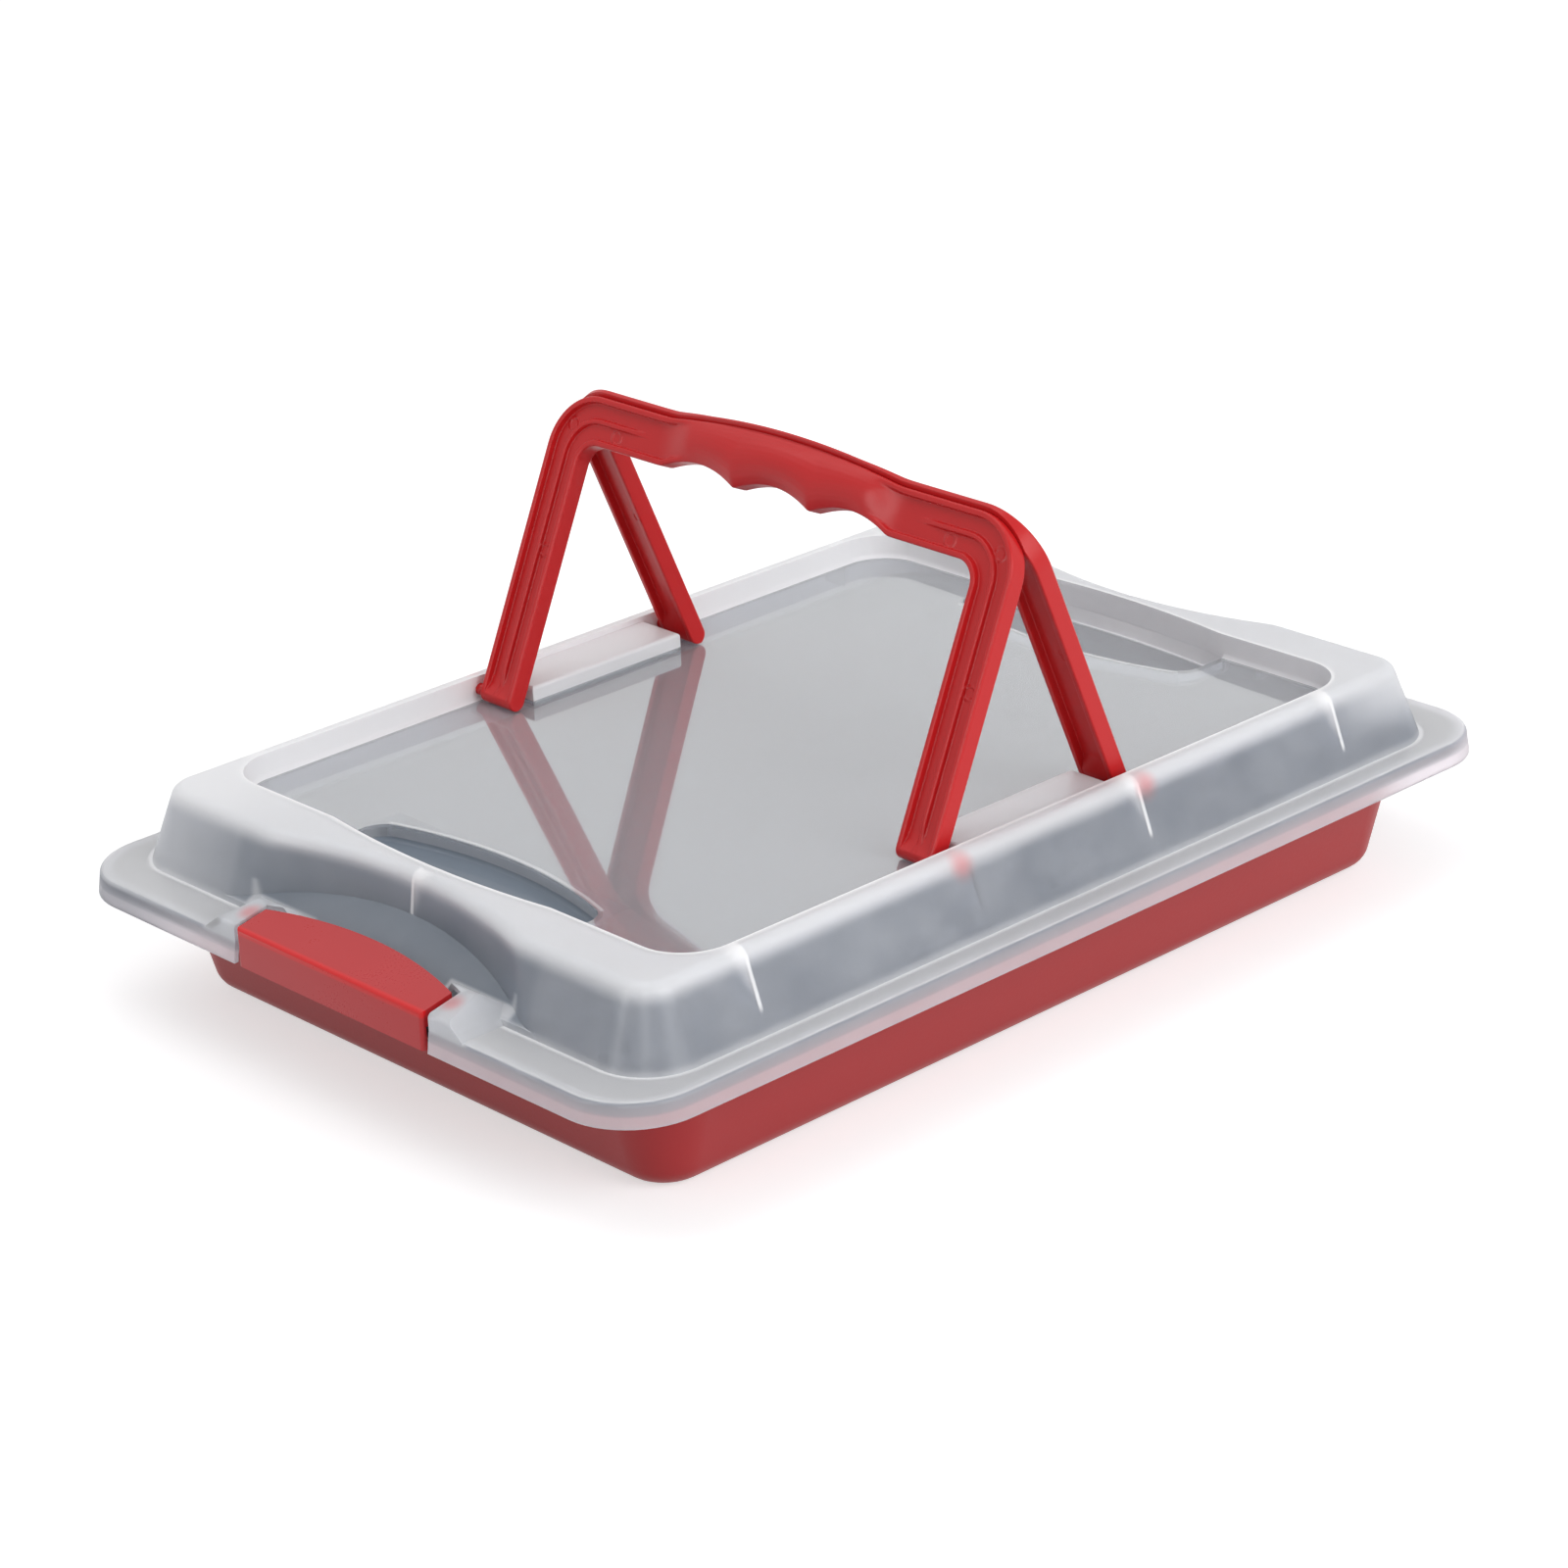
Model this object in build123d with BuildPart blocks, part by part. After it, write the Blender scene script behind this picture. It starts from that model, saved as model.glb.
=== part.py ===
from build123d import *
import os
from math import atan2, cos, degrees, radians, sin, sqrt, tan

os.makedirs("parts", exist_ok=True)

# Baking pan with a carry lid, in millimetres.
# The pan stands on z = 0 with its middle at the origin, long side along X, short side along Y.
# The front end is at -X.  Each short end of the lid carries one clip, and two bails fold out of its middle.

# Lid, seen from above
lid_length = 420.0
lid_width = 290.0
lid_corner = 26.0
lid_wall = 1.6
skirt_height = 8.5
skirt_flare = 1.2
skirt_gap = 0.8
flange_round = 2.0
crown_end_setback = 17.2
crown_side_setback = 10.3
crown_corner = 21.0
crown_height = 27.0
crown_slope = 20.4
crown_round = 5.0
panel_drop = 9.0
panel_length = 322.4
panel_width = 237.6
panel_corner = 18.5
panel_bow = 4.2
panel_bow_chord = 112.0
panel_round = 1.8

# Pan, one pressed sheet with a curled rim
pan_height = 48.0
sheet = 1.0
pan_end_setback = 22.2
pan_side_setback = 12.8
pan_corner = 27.0
pan_draft = 14.0
pan_bottom_round = 9.0
bead_radius = 2.4
bead_flat = 0.2
rim_fold = 2.8
rim_press_round = 2.2

# Sloping recess in the lid's short ends, behind each clip
ramp_start_setback = 15.0
ramp_slope = 31.0
ramp_foot_setback = 35.6
ramp_radius = 187.0
ramp_draft = 8.0
ramp_edge_round = 18.0

# Raised ears on both sides of each clip, and the lid's opening for the clip
ear_front_rise = 5.0
ear_peak_rise = 8.4
ear_peak_setback = 16.5
ear_back_rise = 4.0
ear_depth = 22.5
ear_inner_foot = 36.0
ear_inner_top = 44.0
ear_outer_top = 56.0
ear_outer_foot = 67.0
ear_wall = 2.2
ear_round = 2.0
opening_half = 50.6
opening_setback = 21.2
opening_radius = 180.0
rim_clearance = 0.4

# Clip
clip_half = 48.4
clip_front_gap = 1.0
clip_depth = 20.0
clip_back_radius = 170.0
clip_top_slope = 11.3
clip_edge_top = 5.0
clip_plate = 2.0
clip_wall = 1.8
clip_end_wall = 1.8
clip_end_depth = 5.4
clip_round = 1.6
clip_pin_radius = 1.6
clip_pin_setback = 8.5
clip_pin_rise = 2.9
pin_fit = 0.05
hook_radius = 0.8
hook_under = 1.2
hook_slack = 0.6

# Finger wells in the panel
well_depth = 6.0
well_setback = 29.7
well_radius = 180.0
well_half = 58.0
well_corner = 9.0

# Blocks between the feet of the bails, and webs in the hollow ridge
block_half = 36.0
block_depth = 19.7
block_drop = 2.0
block_round = 1.5
web_thickness = 1.5
web_side_spots = (141.0, 40.5)
web_height = 18.5
web_end_height = 15.5

# Bails
bail_half_spacing = 44.4
bail_half_width = 115.0
bail_leg = 17.0
bail_bar = 17.4
bail_height = 114.0
bail_thickness = 7.0
bail_outer_corner = 21.0
bail_inner_corner = 8.0
bail_lean = 23.6
bail_sway = 1.1
bail_gap = 0.3
bail_floor_gap = 0.4
bail_pin_radius = 2.2
bail_pin_end_gap = 1.6
bail_lip = 2.2
bail_web = 1.8
bail_face_recess = 2.2
bail_rib = 1.8
bail_rib_height = 1.54
grip_half = 53.0
grip_crown = 5.2
grip_bulge = 4.2
grip_flank = 0.5
groove_pitch = 37.5
groove_depth = 4.6
groove_count = 3

# How far a cut reaches past a face, and how closely an edge is picked by its place
cut_over = 1.0
pick = 0.01

# Worked out from the sizes above
flange_top = pan_height + lid_wall
skirt_bottom = flange_top - skirt_height
half_length = lid_length / 2
half_width = lid_width / 2
ramp_start = half_length - ramp_start_setback
ramp_foot = half_length - ramp_foot_setback
opening_end = half_length - opening_setback
foot_x = half_length - crown_end_setback
foot_y = half_width - crown_side_setback
crown_top = flange_top + crown_height
panel_top = crown_top - panel_drop
panel_x = panel_length / 2
panel_y = panel_width / 2
well_reach = panel_x - well_setback
clip_front = half_length + clip_front_gap
clip_pin_x = half_length - clip_pin_setback
clip_pin_z = flange_top + clip_pin_rise
rim_x = half_length - lid_wall - skirt_gap
rim_y = half_width - lid_wall - skirt_gap
rim_corner = lid_corner - lid_wall - skirt_gap
bead_x = rim_x - bead_radius
bead_z = pan_height - bead_radius
bail_pin_z = panel_top + bail_thickness / 2 + bail_floor_gap
ramp_tan = tan(radians(ramp_slope))
big = 2 * lid_length


def slant_run(thickness, angle):
    """Horizontal shift of a slanted wall's inner face when its level face drops by the same thickness."""
    return thickness / cos(radians(angle)) - thickness * tan(radians(angle))


def rounded_outline(half_x, half_y, corner, inset):
    """Rounded rectangle, moved in on all sides."""
    return RectangleRounded(2 * (half_x - inset), 2 * (half_y - inset), corner - inset)


# Forms of the lid.  Each takes an inset: 0 gives the outside, the wall gives the hollow.

def flange_form(inset):
    """Flat flange and its flared skirt, as one closed block."""
    below = lid_wall if inset else 0.0
    flare = skirt_flare * (skirt_height + below) / skirt_height
    with BuildPart() as form:
        with BuildSketch(Plane.XY.offset(skirt_bottom - below)):
            rounded_outline(half_length + flare, half_width + flare, lid_corner + flare, inset)
        with BuildSketch(Plane.XY.offset(flange_top - inset)):
            rounded_outline(half_length, half_width, lid_corner, inset)
        loft(ruled=True)
        fillet(form.faces().sort_by(Axis.Z)[-1].edges(), max(flange_round - inset, lid_wall / 4))
    return form.part


def ramp_cutter(end, inset):
    """Space over the sloping floor of the recess, bounded by a cone with an upright axis."""
    mid_rise = (ramp_start - ramp_foot) * ramp_tan
    axis_x = ramp_foot + ramp_radius
    grow = tan(radians(ramp_draft))
    base_z = flange_top - inset
    reach = crown_height + 2 * lid_wall
    base_radius = ramp_radius + inset / cos(radians(ramp_draft)) + (base_z - flange_top - mid_rise) * grow
    drop = inset / cos(radians(ramp_slope))
    with BuildPart() as cutter:
        with Locations((end * axis_x, 0, base_z)):
            Cone(base_radius, base_radius + reach * grow, reach, align=(Align.CENTER, Align.CENTER, Align.MIN))
        with BuildSketch(Plane.XZ):
            with BuildLine():
                Polyline(
                    (end * (ramp_start + crown_height), flange_top - drop - crown_height * ramp_tan),
                    (end * (ramp_foot - crown_height), flange_top + mid_rise - drop + crown_height * ramp_tan),
                    (end * (ramp_foot - crown_height), skirt_bottom - crown_height),
                    (end * (ramp_start + crown_height), skirt_bottom - crown_height),
                    close=True,
                )
            make_face()
        extrude(amount=half_width, both=True, mode=Mode.SUBTRACT)
    return cutter.part


def panel_bow_face(end, inset):
    """Segment by which the panel's short ends bow outward."""
    edge = end * (panel_x + inset)
    chord = panel_bow_chord / 2 + inset
    with BuildSketch(mode=Mode.PRIVATE) as segment:
        with BuildLine():
            ThreePointArc((edge, -chord), (edge + end * panel_bow, 0), (edge, chord))
            Line((edge, chord), (edge, -chord))
        make_face()
    return segment.sketch


def panel_cutter(inset):
    """Space over the sunk panel, with its bowed ends and finger wells, around the two side blocks."""
    with BuildPart() as cutter:
        with BuildSketch(Plane.XY.offset(panel_top - inset)):
            rounded_outline(panel_x, panel_y, panel_corner, -inset)
            for end in (-1, 1):
                add(panel_bow_face(end, inset))
        extrude(amount=crown_height)
        fillet(cutter.faces().sort_by(Axis.Z)[0].edges(), panel_round + inset)
    with BuildPart() as blocks:
        with BuildSketch(Plane.XY.offset(panel_top - 2 * lid_wall)):
            for side in (-1, 1):
                with Locations((0, side * (panel_y + block_round))):
                    Rectangle(2 * (block_half - inset), 2 * (block_depth + block_round - inset))
        extrude(amount=panel_drop + 2 * lid_wall - block_drop - inset)
        tops = blocks.faces().filter_by(Axis.Z).group_by(Axis.Z)[-1].edges()
        fillet(tops, max(block_round - inset / 2, lid_wall / 4))
    return cutter.part - blocks.part + well_cutter(inset)


def well_cutter(inset):
    """The finger well at each end of the panel: a shallow D with its straight side on the ridge."""
    straight = panel_x + inset
    with BuildPart() as wells:
        with BuildSketch(Plane.XY.offset(panel_top - well_depth - inset)) as outline:
            with Locations(((straight + well_reach - inset) / 2, 0)):
                Rectangle(straight - well_reach + inset, 2 * (well_half + inset))
            with Locations((well_reach + well_radius, 0)):
                Circle(well_radius + inset, mode=Mode.INTERSECT)
            fillet(outline.vertices().group_by(Axis.X)[0], well_corner + inset)
            add(panel_bow_face(1, inset))
            mirror(about=Plane.YZ)
        extrude(amount=well_depth + lid_wall)
        floor_edges = wells.faces().filter_by(Axis.Z).group_by(Axis.Z)[0].edges()
        fillet(floor_edges.filter_by(lambda e: abs(e.center().X) < panel_x - panel_round), panel_round + inset)
    return wells.part


def crown_form(inset):
    """Raised middle of the lid: sloped walls, rounded ridge, a sloping recess in each short end."""
    run = slant_run(inset, crown_slope)
    with BuildPart() as form:
        with BuildSketch(Plane.XY.offset(flange_top - inset)):
            rounded_outline(foot_x, foot_y, crown_corner, run)
        extrude(amount=crown_height, taper=crown_slope)
        for end in (-1, 1):
            add(ramp_cutter(end, inset), mode=Mode.SUBTRACT)
        ridge_ends = form.edges().filter_by(
            lambda e: abs(e.center().Z - (e.bounding_box().min.Z + e.bounding_box().max.Z) / 2) < 3
            and e.bounding_box().size.Z > crown_height / 2
            and abs(e.center().Y) < foot_y - crown_corner
        )
        fillet(ridge_ends, ramp_edge_round)
        fillet(form.faces().sort_by(Axis.Z)[-1].edges(), max(crown_round - inset, lid_wall / 2))
    return form.part


def ear_form(end, inset):
    """Raised stretch of the flange that carries the clip's pins.  It climbs inward and drops to the recess."""
    low = flange_top - 2 * lid_wall - inset
    base = flange_top - inset
    outer = end * (half_length - inset)
    peak = end * (half_length - ear_peak_setback)
    back = end * (half_length - ear_depth + inset)
    rounding = max(ear_round - inset, lid_wall / 4)
    with BuildPart() as form:
        with BuildSketch(Plane.XZ) as side_view:
            with BuildLine():
                Polyline(
                    (outer, low),
                    (outer, base + ear_front_rise),
                    (peak, base + ear_peak_rise),
                    (back, base + ear_back_rise),
                    (back, low),
                    close=True,
                )
            make_face()
            crests = side_view.vertices().sort_by(Axis.Y)[-3:].sort_by(lambda v: end * v.X)
            fillet(crests[-2:], rounding)
        extrude(amount=ear_outer_foot - inset, both=True)
        with BuildSketch(Plane.YZ) as end_view:
            with BuildLine():
                Polyline(
                    (ear_inner_foot + inset, low),
                    (ear_inner_foot + inset, base),
                    (ear_inner_top + inset, base + ear_peak_rise),
                    (ear_outer_top - inset, base + ear_peak_rise),
                    (ear_outer_foot - inset, base),
                    (ear_outer_foot - inset, low),
                    close=True,
                )
            make_face()
            fillet(end_view.vertices().group_by(Axis.Y)[-1], rounding)
            mirror(about=Plane.YZ)
        extrude(amount=lid_length, both=True, mode=Mode.INTERSECT)
    return form.part


def lid_form(inset):
    """The whole outside of the lid, moved in by the inset."""
    with BuildPart() as form:
        add(flange_form(inset))
        add(crown_form(inset))
        for end in (-1, 1):
            add(ear_form(end, inset))
        add(panel_cutter(inset), mode=Mode.SUBTRACT)
    return form.part


def clip_opening(end):
    """Opening in the lid's end where the clip sits, with a curved inner side."""
    with BuildPart() as opening:
        with BuildSketch(Plane.XY.offset(skirt_bottom - lid_wall)):
            with Locations((end * (opening_end + opening_radius), 0)):
                Circle(opening_radius)
            with Locations((end * half_length, 0)):
                Rectangle(2 * opening_radius, 2 * opening_half, mode=Mode.INTERSECT)
        extrude(amount=crown_height)
    return opening.part


def ridge_webs():
    """Thin gussets inside the hollow ridge: two by each half of the long sides, one in each short end."""
    top = crown_top - lid_wall / 2
    side_mid = (foot_y + panel_y) / 2
    end_mid = (ramp_foot + panel_x) / 2
    with BuildPart() as webs:
        with BuildSketch(Plane.XY.offset(top)):
            for x in web_side_spots:
                with Locations((x, side_mid), (x, -side_mid), (-x, side_mid), (-x, -side_mid)):
                    Rectangle(web_thickness, foot_y - panel_y)
        extrude(amount=-web_height)
        with BuildSketch(Plane.XY.offset(top)):
            with Locations((end_mid, 0), (-end_mid, 0)):
                Rectangle(ramp_foot - panel_x + lid_wall, web_thickness)
        extrude(amount=-web_end_height)
    return webs.part


def ear_walls():
    """Upright plates beside the clips, from just over the pan's rim upward."""
    low = pan_height + rim_clearance
    with BuildPart() as walls:
        with BuildSketch(Plane.XY.offset(low)):
            for end in (-1, 1):
                for side in (-1, 1):
                    with Locations((end * (half_length - ear_depth / 2 - lid_wall / 2),
                                    side * (opening_half + ear_wall / 2))):
                        Rectangle(ear_depth - lid_wall - rim_clearance, ear_wall)
        extrude(amount=crown_height)
    return walls.part


outside = lid_form(0.0)
hollow = lid_form(lid_wall)

with BuildPart() as lid:
    add(outside)
    add(hollow, mode=Mode.SUBTRACT)
    for end in (-1, 1):
        add(clip_opening(end), mode=Mode.SUBTRACT)
    # walls that close the ears beside the clip and hold its pins, and webs inside the ridge
    add(ear_walls().intersect(outside))
    add(ridge_webs().intersect(outside))
    # bores for the clip pins and the bail pins
    for end in (-1, 1):
        with Locations(Plane((end * clip_pin_x, 0, clip_pin_z), x_dir=(1, 0, 0), z_dir=(0, 1, 0))):
            Cylinder(clip_pin_radius + pin_fit, 2 * (opening_half + ear_wall + clip_round), mode=Mode.SUBTRACT)
        with Locations(Plane((end * bail_half_spacing, 0, bail_pin_z), x_dir=(1, 0, 0), z_dir=(0, 1, 0))):
            Cylinder(bail_pin_radius + pin_fit, 2 * (panel_y + 2 * lid_wall), mode=Mode.SUBTRACT)

lid.part.label = "lid"
export_step(lid.part, "parts/lid.step")


# Pan

pan_x = half_length - pan_end_setback
pan_y = half_width - pan_side_setback
pan_run = pan_height * tan(radians(pan_draft))


def pan_body(inset, top):
    """Tapered tray, bottom edge rounded, moved in by the inset and carried up to a given height."""
    shift = slant_run(inset, pan_draft) + pan_run
    with BuildPart() as body:
        with BuildSketch(Plane.XY.offset(inset)):
            rounded_outline(pan_x, pan_y, pan_corner, shift)
        extrude(amount=top - inset, taper=-pan_draft)
        fillet(body.faces().sort_by(Axis.Z)[0].edges(), pan_bottom_round - inset)
    return body.part


with BuildPart() as pan:
    # rim plate with its rolled outer edge
    bead_height = 2 * bead_radius
    with BuildSketch(Plane.XY.offset(pan_height - bead_height)):
        rounded_outline(rim_x, rim_y, rim_corner, 0)
    extrude(amount=bead_height)
    fillet(pan.faces().filter_by(Axis.Z).edges(), bead_radius - bead_flat / 2)
    # the roll is hollow
    with BuildPart(mode=Mode.PRIVATE) as core:
        with BuildSketch(Plane.XY.offset(pan_height - bead_height + sheet)):
            rounded_outline(rim_x, rim_y, rim_corner, sheet)
        extrude(amount=bead_height - 2 * sheet)
        fillet(core.faces().filter_by(Axis.Z).edges(), bead_radius - sheet - bead_flat / 2)
    add(core.part, mode=Mode.SUBTRACT)
    # the roll is open towards the wall
    with BuildSketch(Plane.XY.offset(pan_height - bead_height - sheet)):
        rounded_outline(rim_x, rim_y, rim_corner, sheet + rim_fold)
    extrude(amount=bead_height, mode=Mode.SUBTRACT)
    add(pan_body(0.0, pan_height - sheet / 2))
    under = pan.edges().filter_by_position(Axis.Z, pan_height - sheet - pick, pan_height - sheet + pick)
    fillet(under.filter_by(lambda e: abs(e.center().X) < pan_x + cut_over and abs(e.center().Y) < pan_y + cut_over),
           rim_press_round - sheet)
    add(pan_body(sheet, pan_height + sheet), mode=Mode.SUBTRACT)
    over = pan.edges().filter_by_position(Axis.Z, pan_height - pick, pan_height + pick)
    fillet(over.filter_by(lambda e: abs(e.center().X) < pan_x and abs(e.center().Y) < pan_y), rim_press_round)

pan.part.label = "pan"
export_step(pan.part, "parts/pan.step")


# Clips: a D-shaped plate with a front wall, a hook under the rim and a pin at each end

def clip_outline(inset):
    """The D of the clip from above, straight front, gently curved back."""
    depth = clip_depth - inset
    with BuildSketch(mode=Mode.PRIVATE) as outline:
        with Locations((clip_front - depth + clip_back_radius, 0)):
            Circle(clip_back_radius)
        with Locations((clip_front - clip_back_radius / 2 - inset, 0)):
            Rectangle(clip_back_radius, 2 * (clip_half - inset), mode=Mode.INTERSECT)
    return outline.sketch


def make_clip(end):
    """One clip.  It is drawn for the +X end and turned for the other."""
    bottom = bead_z - bead_radius - hook_slack - 2 * hook_radius
    hook_x = bead_x + hook_under
    hook_z = bottom + hook_radius
    top_rise = clip_depth * tan(radians(clip_top_slope))
    edge_z = flange_top + clip_edge_top
    with BuildPart() as clip:
        with BuildSketch(Plane.XY.offset(bottom)):
            add(clip_outline(0.0))
        extrude(amount=edge_z + top_rise - bottom)
        # sloping top, lowest at the front
        with BuildSketch(Plane.XZ):
            with BuildLine():
                Polyline(
                    (clip_front + clip_wall, edge_z - clip_wall * tan(radians(clip_top_slope))),
                    (clip_front - clip_depth - clip_wall,
                     edge_z + top_rise + clip_wall * tan(radians(clip_top_slope))),
                    (clip_front - clip_depth - clip_wall, crown_top),
                    (clip_front + clip_wall, crown_top),
                    close=True,
                )
            make_face()
        extrude(amount=2 * clip_half, both=True, mode=Mode.SUBTRACT)
        fillet(clip.edges().filter_by(
            lambda e: e.center().X > clip_front - 10 * pick and e.center().Z > bottom + clip_wall), clip_round)
        # hollow from below
        with BuildPart(mode=Mode.PRIVATE) as inside:
            with BuildSketch(Plane.XY.offset(bottom - clip_wall)):
                with Locations((clip_front - clip_wall - clip_back_radius / 2, 0)):
                    Rectangle(clip_back_radius, 2 * (clip_half - clip_end_wall))
            extrude(amount=crown_height)
            with BuildSketch(Plane.XZ):
                with BuildLine():
                    rise = tan(radians(clip_top_slope))
                    low = edge_z - clip_plate / cos(radians(clip_top_slope))
                    Polyline(
                        (clip_front + clip_wall, low - clip_wall * rise),
                        (clip_front - 2 * clip_depth, low + 2 * clip_depth * rise),
                        (clip_front - 2 * clip_depth, crown_top + clip_depth),
                        (clip_front + clip_wall, crown_top + clip_depth),
                        close=True,
                    )
                make_face()
            extrude(amount=2 * clip_half, both=True, mode=Mode.SUBTRACT)
        add(inside.part, mode=Mode.SUBTRACT)
        # the end walls stop above the rim of the pan
        with BuildSketch(Plane.XY.offset(bottom - clip_wall)):
            with Locations((clip_front - clip_wall - clip_back_radius / 2, 0)):
                Rectangle(clip_back_radius, 4 * clip_half)
        extrude(amount=edge_z - clip_end_depth - bottom + clip_wall, mode=Mode.SUBTRACT)
        # hook along the lower edge
        with BuildSketch(Plane.XZ):
            with Locations((hook_x, hook_z)):
                Circle(hook_radius)
            with Locations(((hook_x + clip_front - clip_wall / 2) / 2, hook_z)):
                Rectangle(clip_front - clip_wall / 2 - hook_x, 2 * hook_radius)
        extrude(amount=clip_half - clip_round, both=True)
        # pins, one at each end
        for side in (-1, 1):
            with Locations(Plane((clip_pin_x, side * (clip_half - clip_end_wall / 2), clip_pin_z),
                                 x_dir=(1, 0, 0), z_dir=(0, side, 0))):
                Cylinder(clip_pin_radius, opening_half + ear_wall - pin_fit - clip_half + clip_end_wall / 2,
                         align=(Align.CENTER, Align.CENTER, Align.MIN))
    part = clip.part
    return part if end > 0 else part.rotate(Axis.Z, 180)


clip_front_end = make_clip(-1)
clip_front_end.label = "front_clip"
export_step(clip_front_end, "parts/front_clip.step")
clip_rear_end = make_clip(1)
clip_rear_end.label = "rear_clip"
export_step(clip_rear_end, "parts/rear_clip.step")


# Bails: two U-shaped handles that lean together and share one grip

def bail_outline(inset):
    """The U of a bail in its own plane, feet at the bottom, its sides and bar moved in by the inset."""
    with BuildSketch(mode=Mode.PRIVATE) as outline:
        RectangleRounded(2 * (bail_half_width - inset), 2 * (bail_height - inset), bail_outer_corner - inset)
        RectangleRounded(2 * (bail_half_width - bail_leg + inset), 2 * (bail_height - bail_bar + inset),
                         bail_inner_corner + inset, mode=Mode.SUBTRACT)
        Rectangle(3 * bail_half_width, 2 * bail_height, align=(Align.CENTER, Align.MAX), mode=Mode.SUBTRACT)
    return outline.sketch


def grip_outline():
    """Side view of the grip: crowned top, finger grooves below, over the middle of the bar."""
    low = bail_height - bail_bar
    groove_radius = ((groove_pitch / 2) ** 2 + groove_depth ** 2) / (2 * groove_depth)
    with BuildSketch(mode=Mode.PRIVATE) as outline:
        with BuildLine():
            Line((-grip_half, low), (grip_half, low))
            Line((grip_half, low), (grip_half, bail_height))
            ThreePointArc((grip_half, bail_height), (0, bail_height + grip_crown), (-grip_half, bail_height))
            Line((-grip_half, bail_height), (-grip_half, low))
        make_face()
        first = -(groove_count - 1) / 2 * groove_pitch
        spots = [(first + i * groove_pitch, low + groove_depth - groove_radius) for i in range(groove_count)]
        with Locations(*spots):
            Circle(groove_radius, mode=Mode.SUBTRACT)
    return outline.sketch


def bail_plane(end, height):
    """Plane of a bail through its pins, its normal facing away from the other bail."""
    lean = radians(bail_lean)
    normal = Vector(end * cos(lean), 0, sin(lean))
    origin = Vector(end * bail_half_spacing, 0, bail_pin_z) + normal * height
    return Plane(origin, x_dir=(0, end, 0), z_dir=normal)


def make_bail(end):
    """One bail in the raised pose."""
    half = bail_thickness / 2
    recess_floor = half - bail_face_recess
    channel_floor = recess_floor - bail_web
    with BuildPart() as bail:
        with BuildSketch(bail_plane(end, -half)):
            add(bail_outline(0.0))
            with Locations((-bail_half_width + bail_leg / 2, -half / 2), (bail_half_width - bail_leg / 2, -half / 2)):
                Rectangle(bail_leg, half)
        extrude(amount=bail_thickness)
        # feet are rounded about the pins
        feet = bail.edges().filter_by(
            lambda e: abs(e.length - bail_leg) < 10 * pick and e.center().Z < bail_pin_z + half
            and abs(e.tangent_at(0.5).Y) > 0.9
        )
        fillet(feet, half - pick)
        # recessed face with a rib, away from the other bail
        with BuildSketch(bail_plane(end, recess_floor)):
            add(bail_outline(bail_lip))
            Rectangle(2 * grip_half, 3 * bail_height, mode=Mode.SUBTRACT)
        extrude(amount=bail_face_recess + cut_over, mode=Mode.SUBTRACT)
        rib_inset = (bail_leg - bail_rib) / 2
        with BuildSketch(bail_plane(end, recess_floor)):
            add(bail_outline(rib_inset))
            Rectangle(2 * grip_half, 3 * bail_height, mode=Mode.SUBTRACT)
        extrude(amount=bail_rib_height)
        # deep channel on the side that faces the other bail
        with BuildSketch(bail_plane(end, -half - cut_over)):
            for side in (-1, 1):
                with Locations((side * (bail_half_width - bail_leg / 2),
                                (bail_height - bail_bar + bail_pin_radius + bail_lip) / 2)):
                    RectangleRounded(bail_leg - 2 * bail_lip, bail_height - bail_bar - bail_pin_radius - bail_lip,
                                     bail_lip)
        extrude(amount=channel_floor + half + cut_over, mode=Mode.SUBTRACT)
        # grip, with a bulge across its outer face
        low = bail_height - bail_bar
        top = bail_height + grip_crown
        flank = half - grip_flank
        with BuildPart(mode=Mode.PRIVATE) as grip:
            with BuildSketch(bail_plane(end, -half)):
                add(grip_outline())
            extrude(amount=bail_thickness + grip_bulge)
            face = bail_plane(end, 0)
            with BuildSketch(Plane(face.origin, x_dir=face.y_dir, z_dir=face.x_dir)):
                with BuildLine():
                    Polyline((top, flank), (top, -half), (low, -half), (low, flank))
                    ThreePointArc((low, flank), ((low + top) / 2, half + grip_bulge), (top, flank))
                make_face()
            extrude(amount=grip_half, both=True, mode=Mode.INTERSECT)
            # the bulge fades out towards both ends of the grip
            with BuildSketch(Plane(face.origin, x_dir=face.x_dir, z_dir=-face.y_dir)):
                with BuildLine():
                    Polyline((grip_half, flank), (grip_half, -half), (-grip_half, -half), (-grip_half, flank))
                    ThreePointArc((-grip_half, flank), (0, half + grip_bulge), (grip_half, flank))
                make_face()
            extrude(amount=2 * bail_height, both=True, mode=Mode.INTERSECT)
        with BuildSketch(bail_plane(end, -half - cut_over)):
            with Locations((0, bail_height - bail_bar / 2)):
                Rectangle(2 * grip_half, 2 * bail_bar)
        extrude(amount=bail_thickness + 2 * cut_over, mode=Mode.SUBTRACT)
        add(grip.part)
        # both bails stop short of the middle plane, so their grips lie flat together
        with Locations((-end * (big / 2 - bail_gap / 2), 0, bail_pin_z)):
            Box(big, big, big, mode=Mode.SUBTRACT)
        # pins
        for side in (-1, 1):
            start = bail_half_width - bail_lip / 2
            finish = panel_y + 2 * lid_wall - bail_pin_end_gap + bail_lip
            with Locations(Plane((end * bail_half_spacing, side * start, bail_pin_z),
                                 x_dir=(1, 0, 0), z_dir=(0, side, 0))):
                Cylinder(bail_pin_radius, finish - start, align=(Align.CENTER, Align.CENTER, Align.MIN))
    # the pair leans a little towards +X, as play in the pins lets it
    pin_axis = Axis((end * bail_half_spacing, 0, bail_pin_z), (0, 1, 0))
    return bail.part.rotate(pin_axis, bail_sway)


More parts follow.
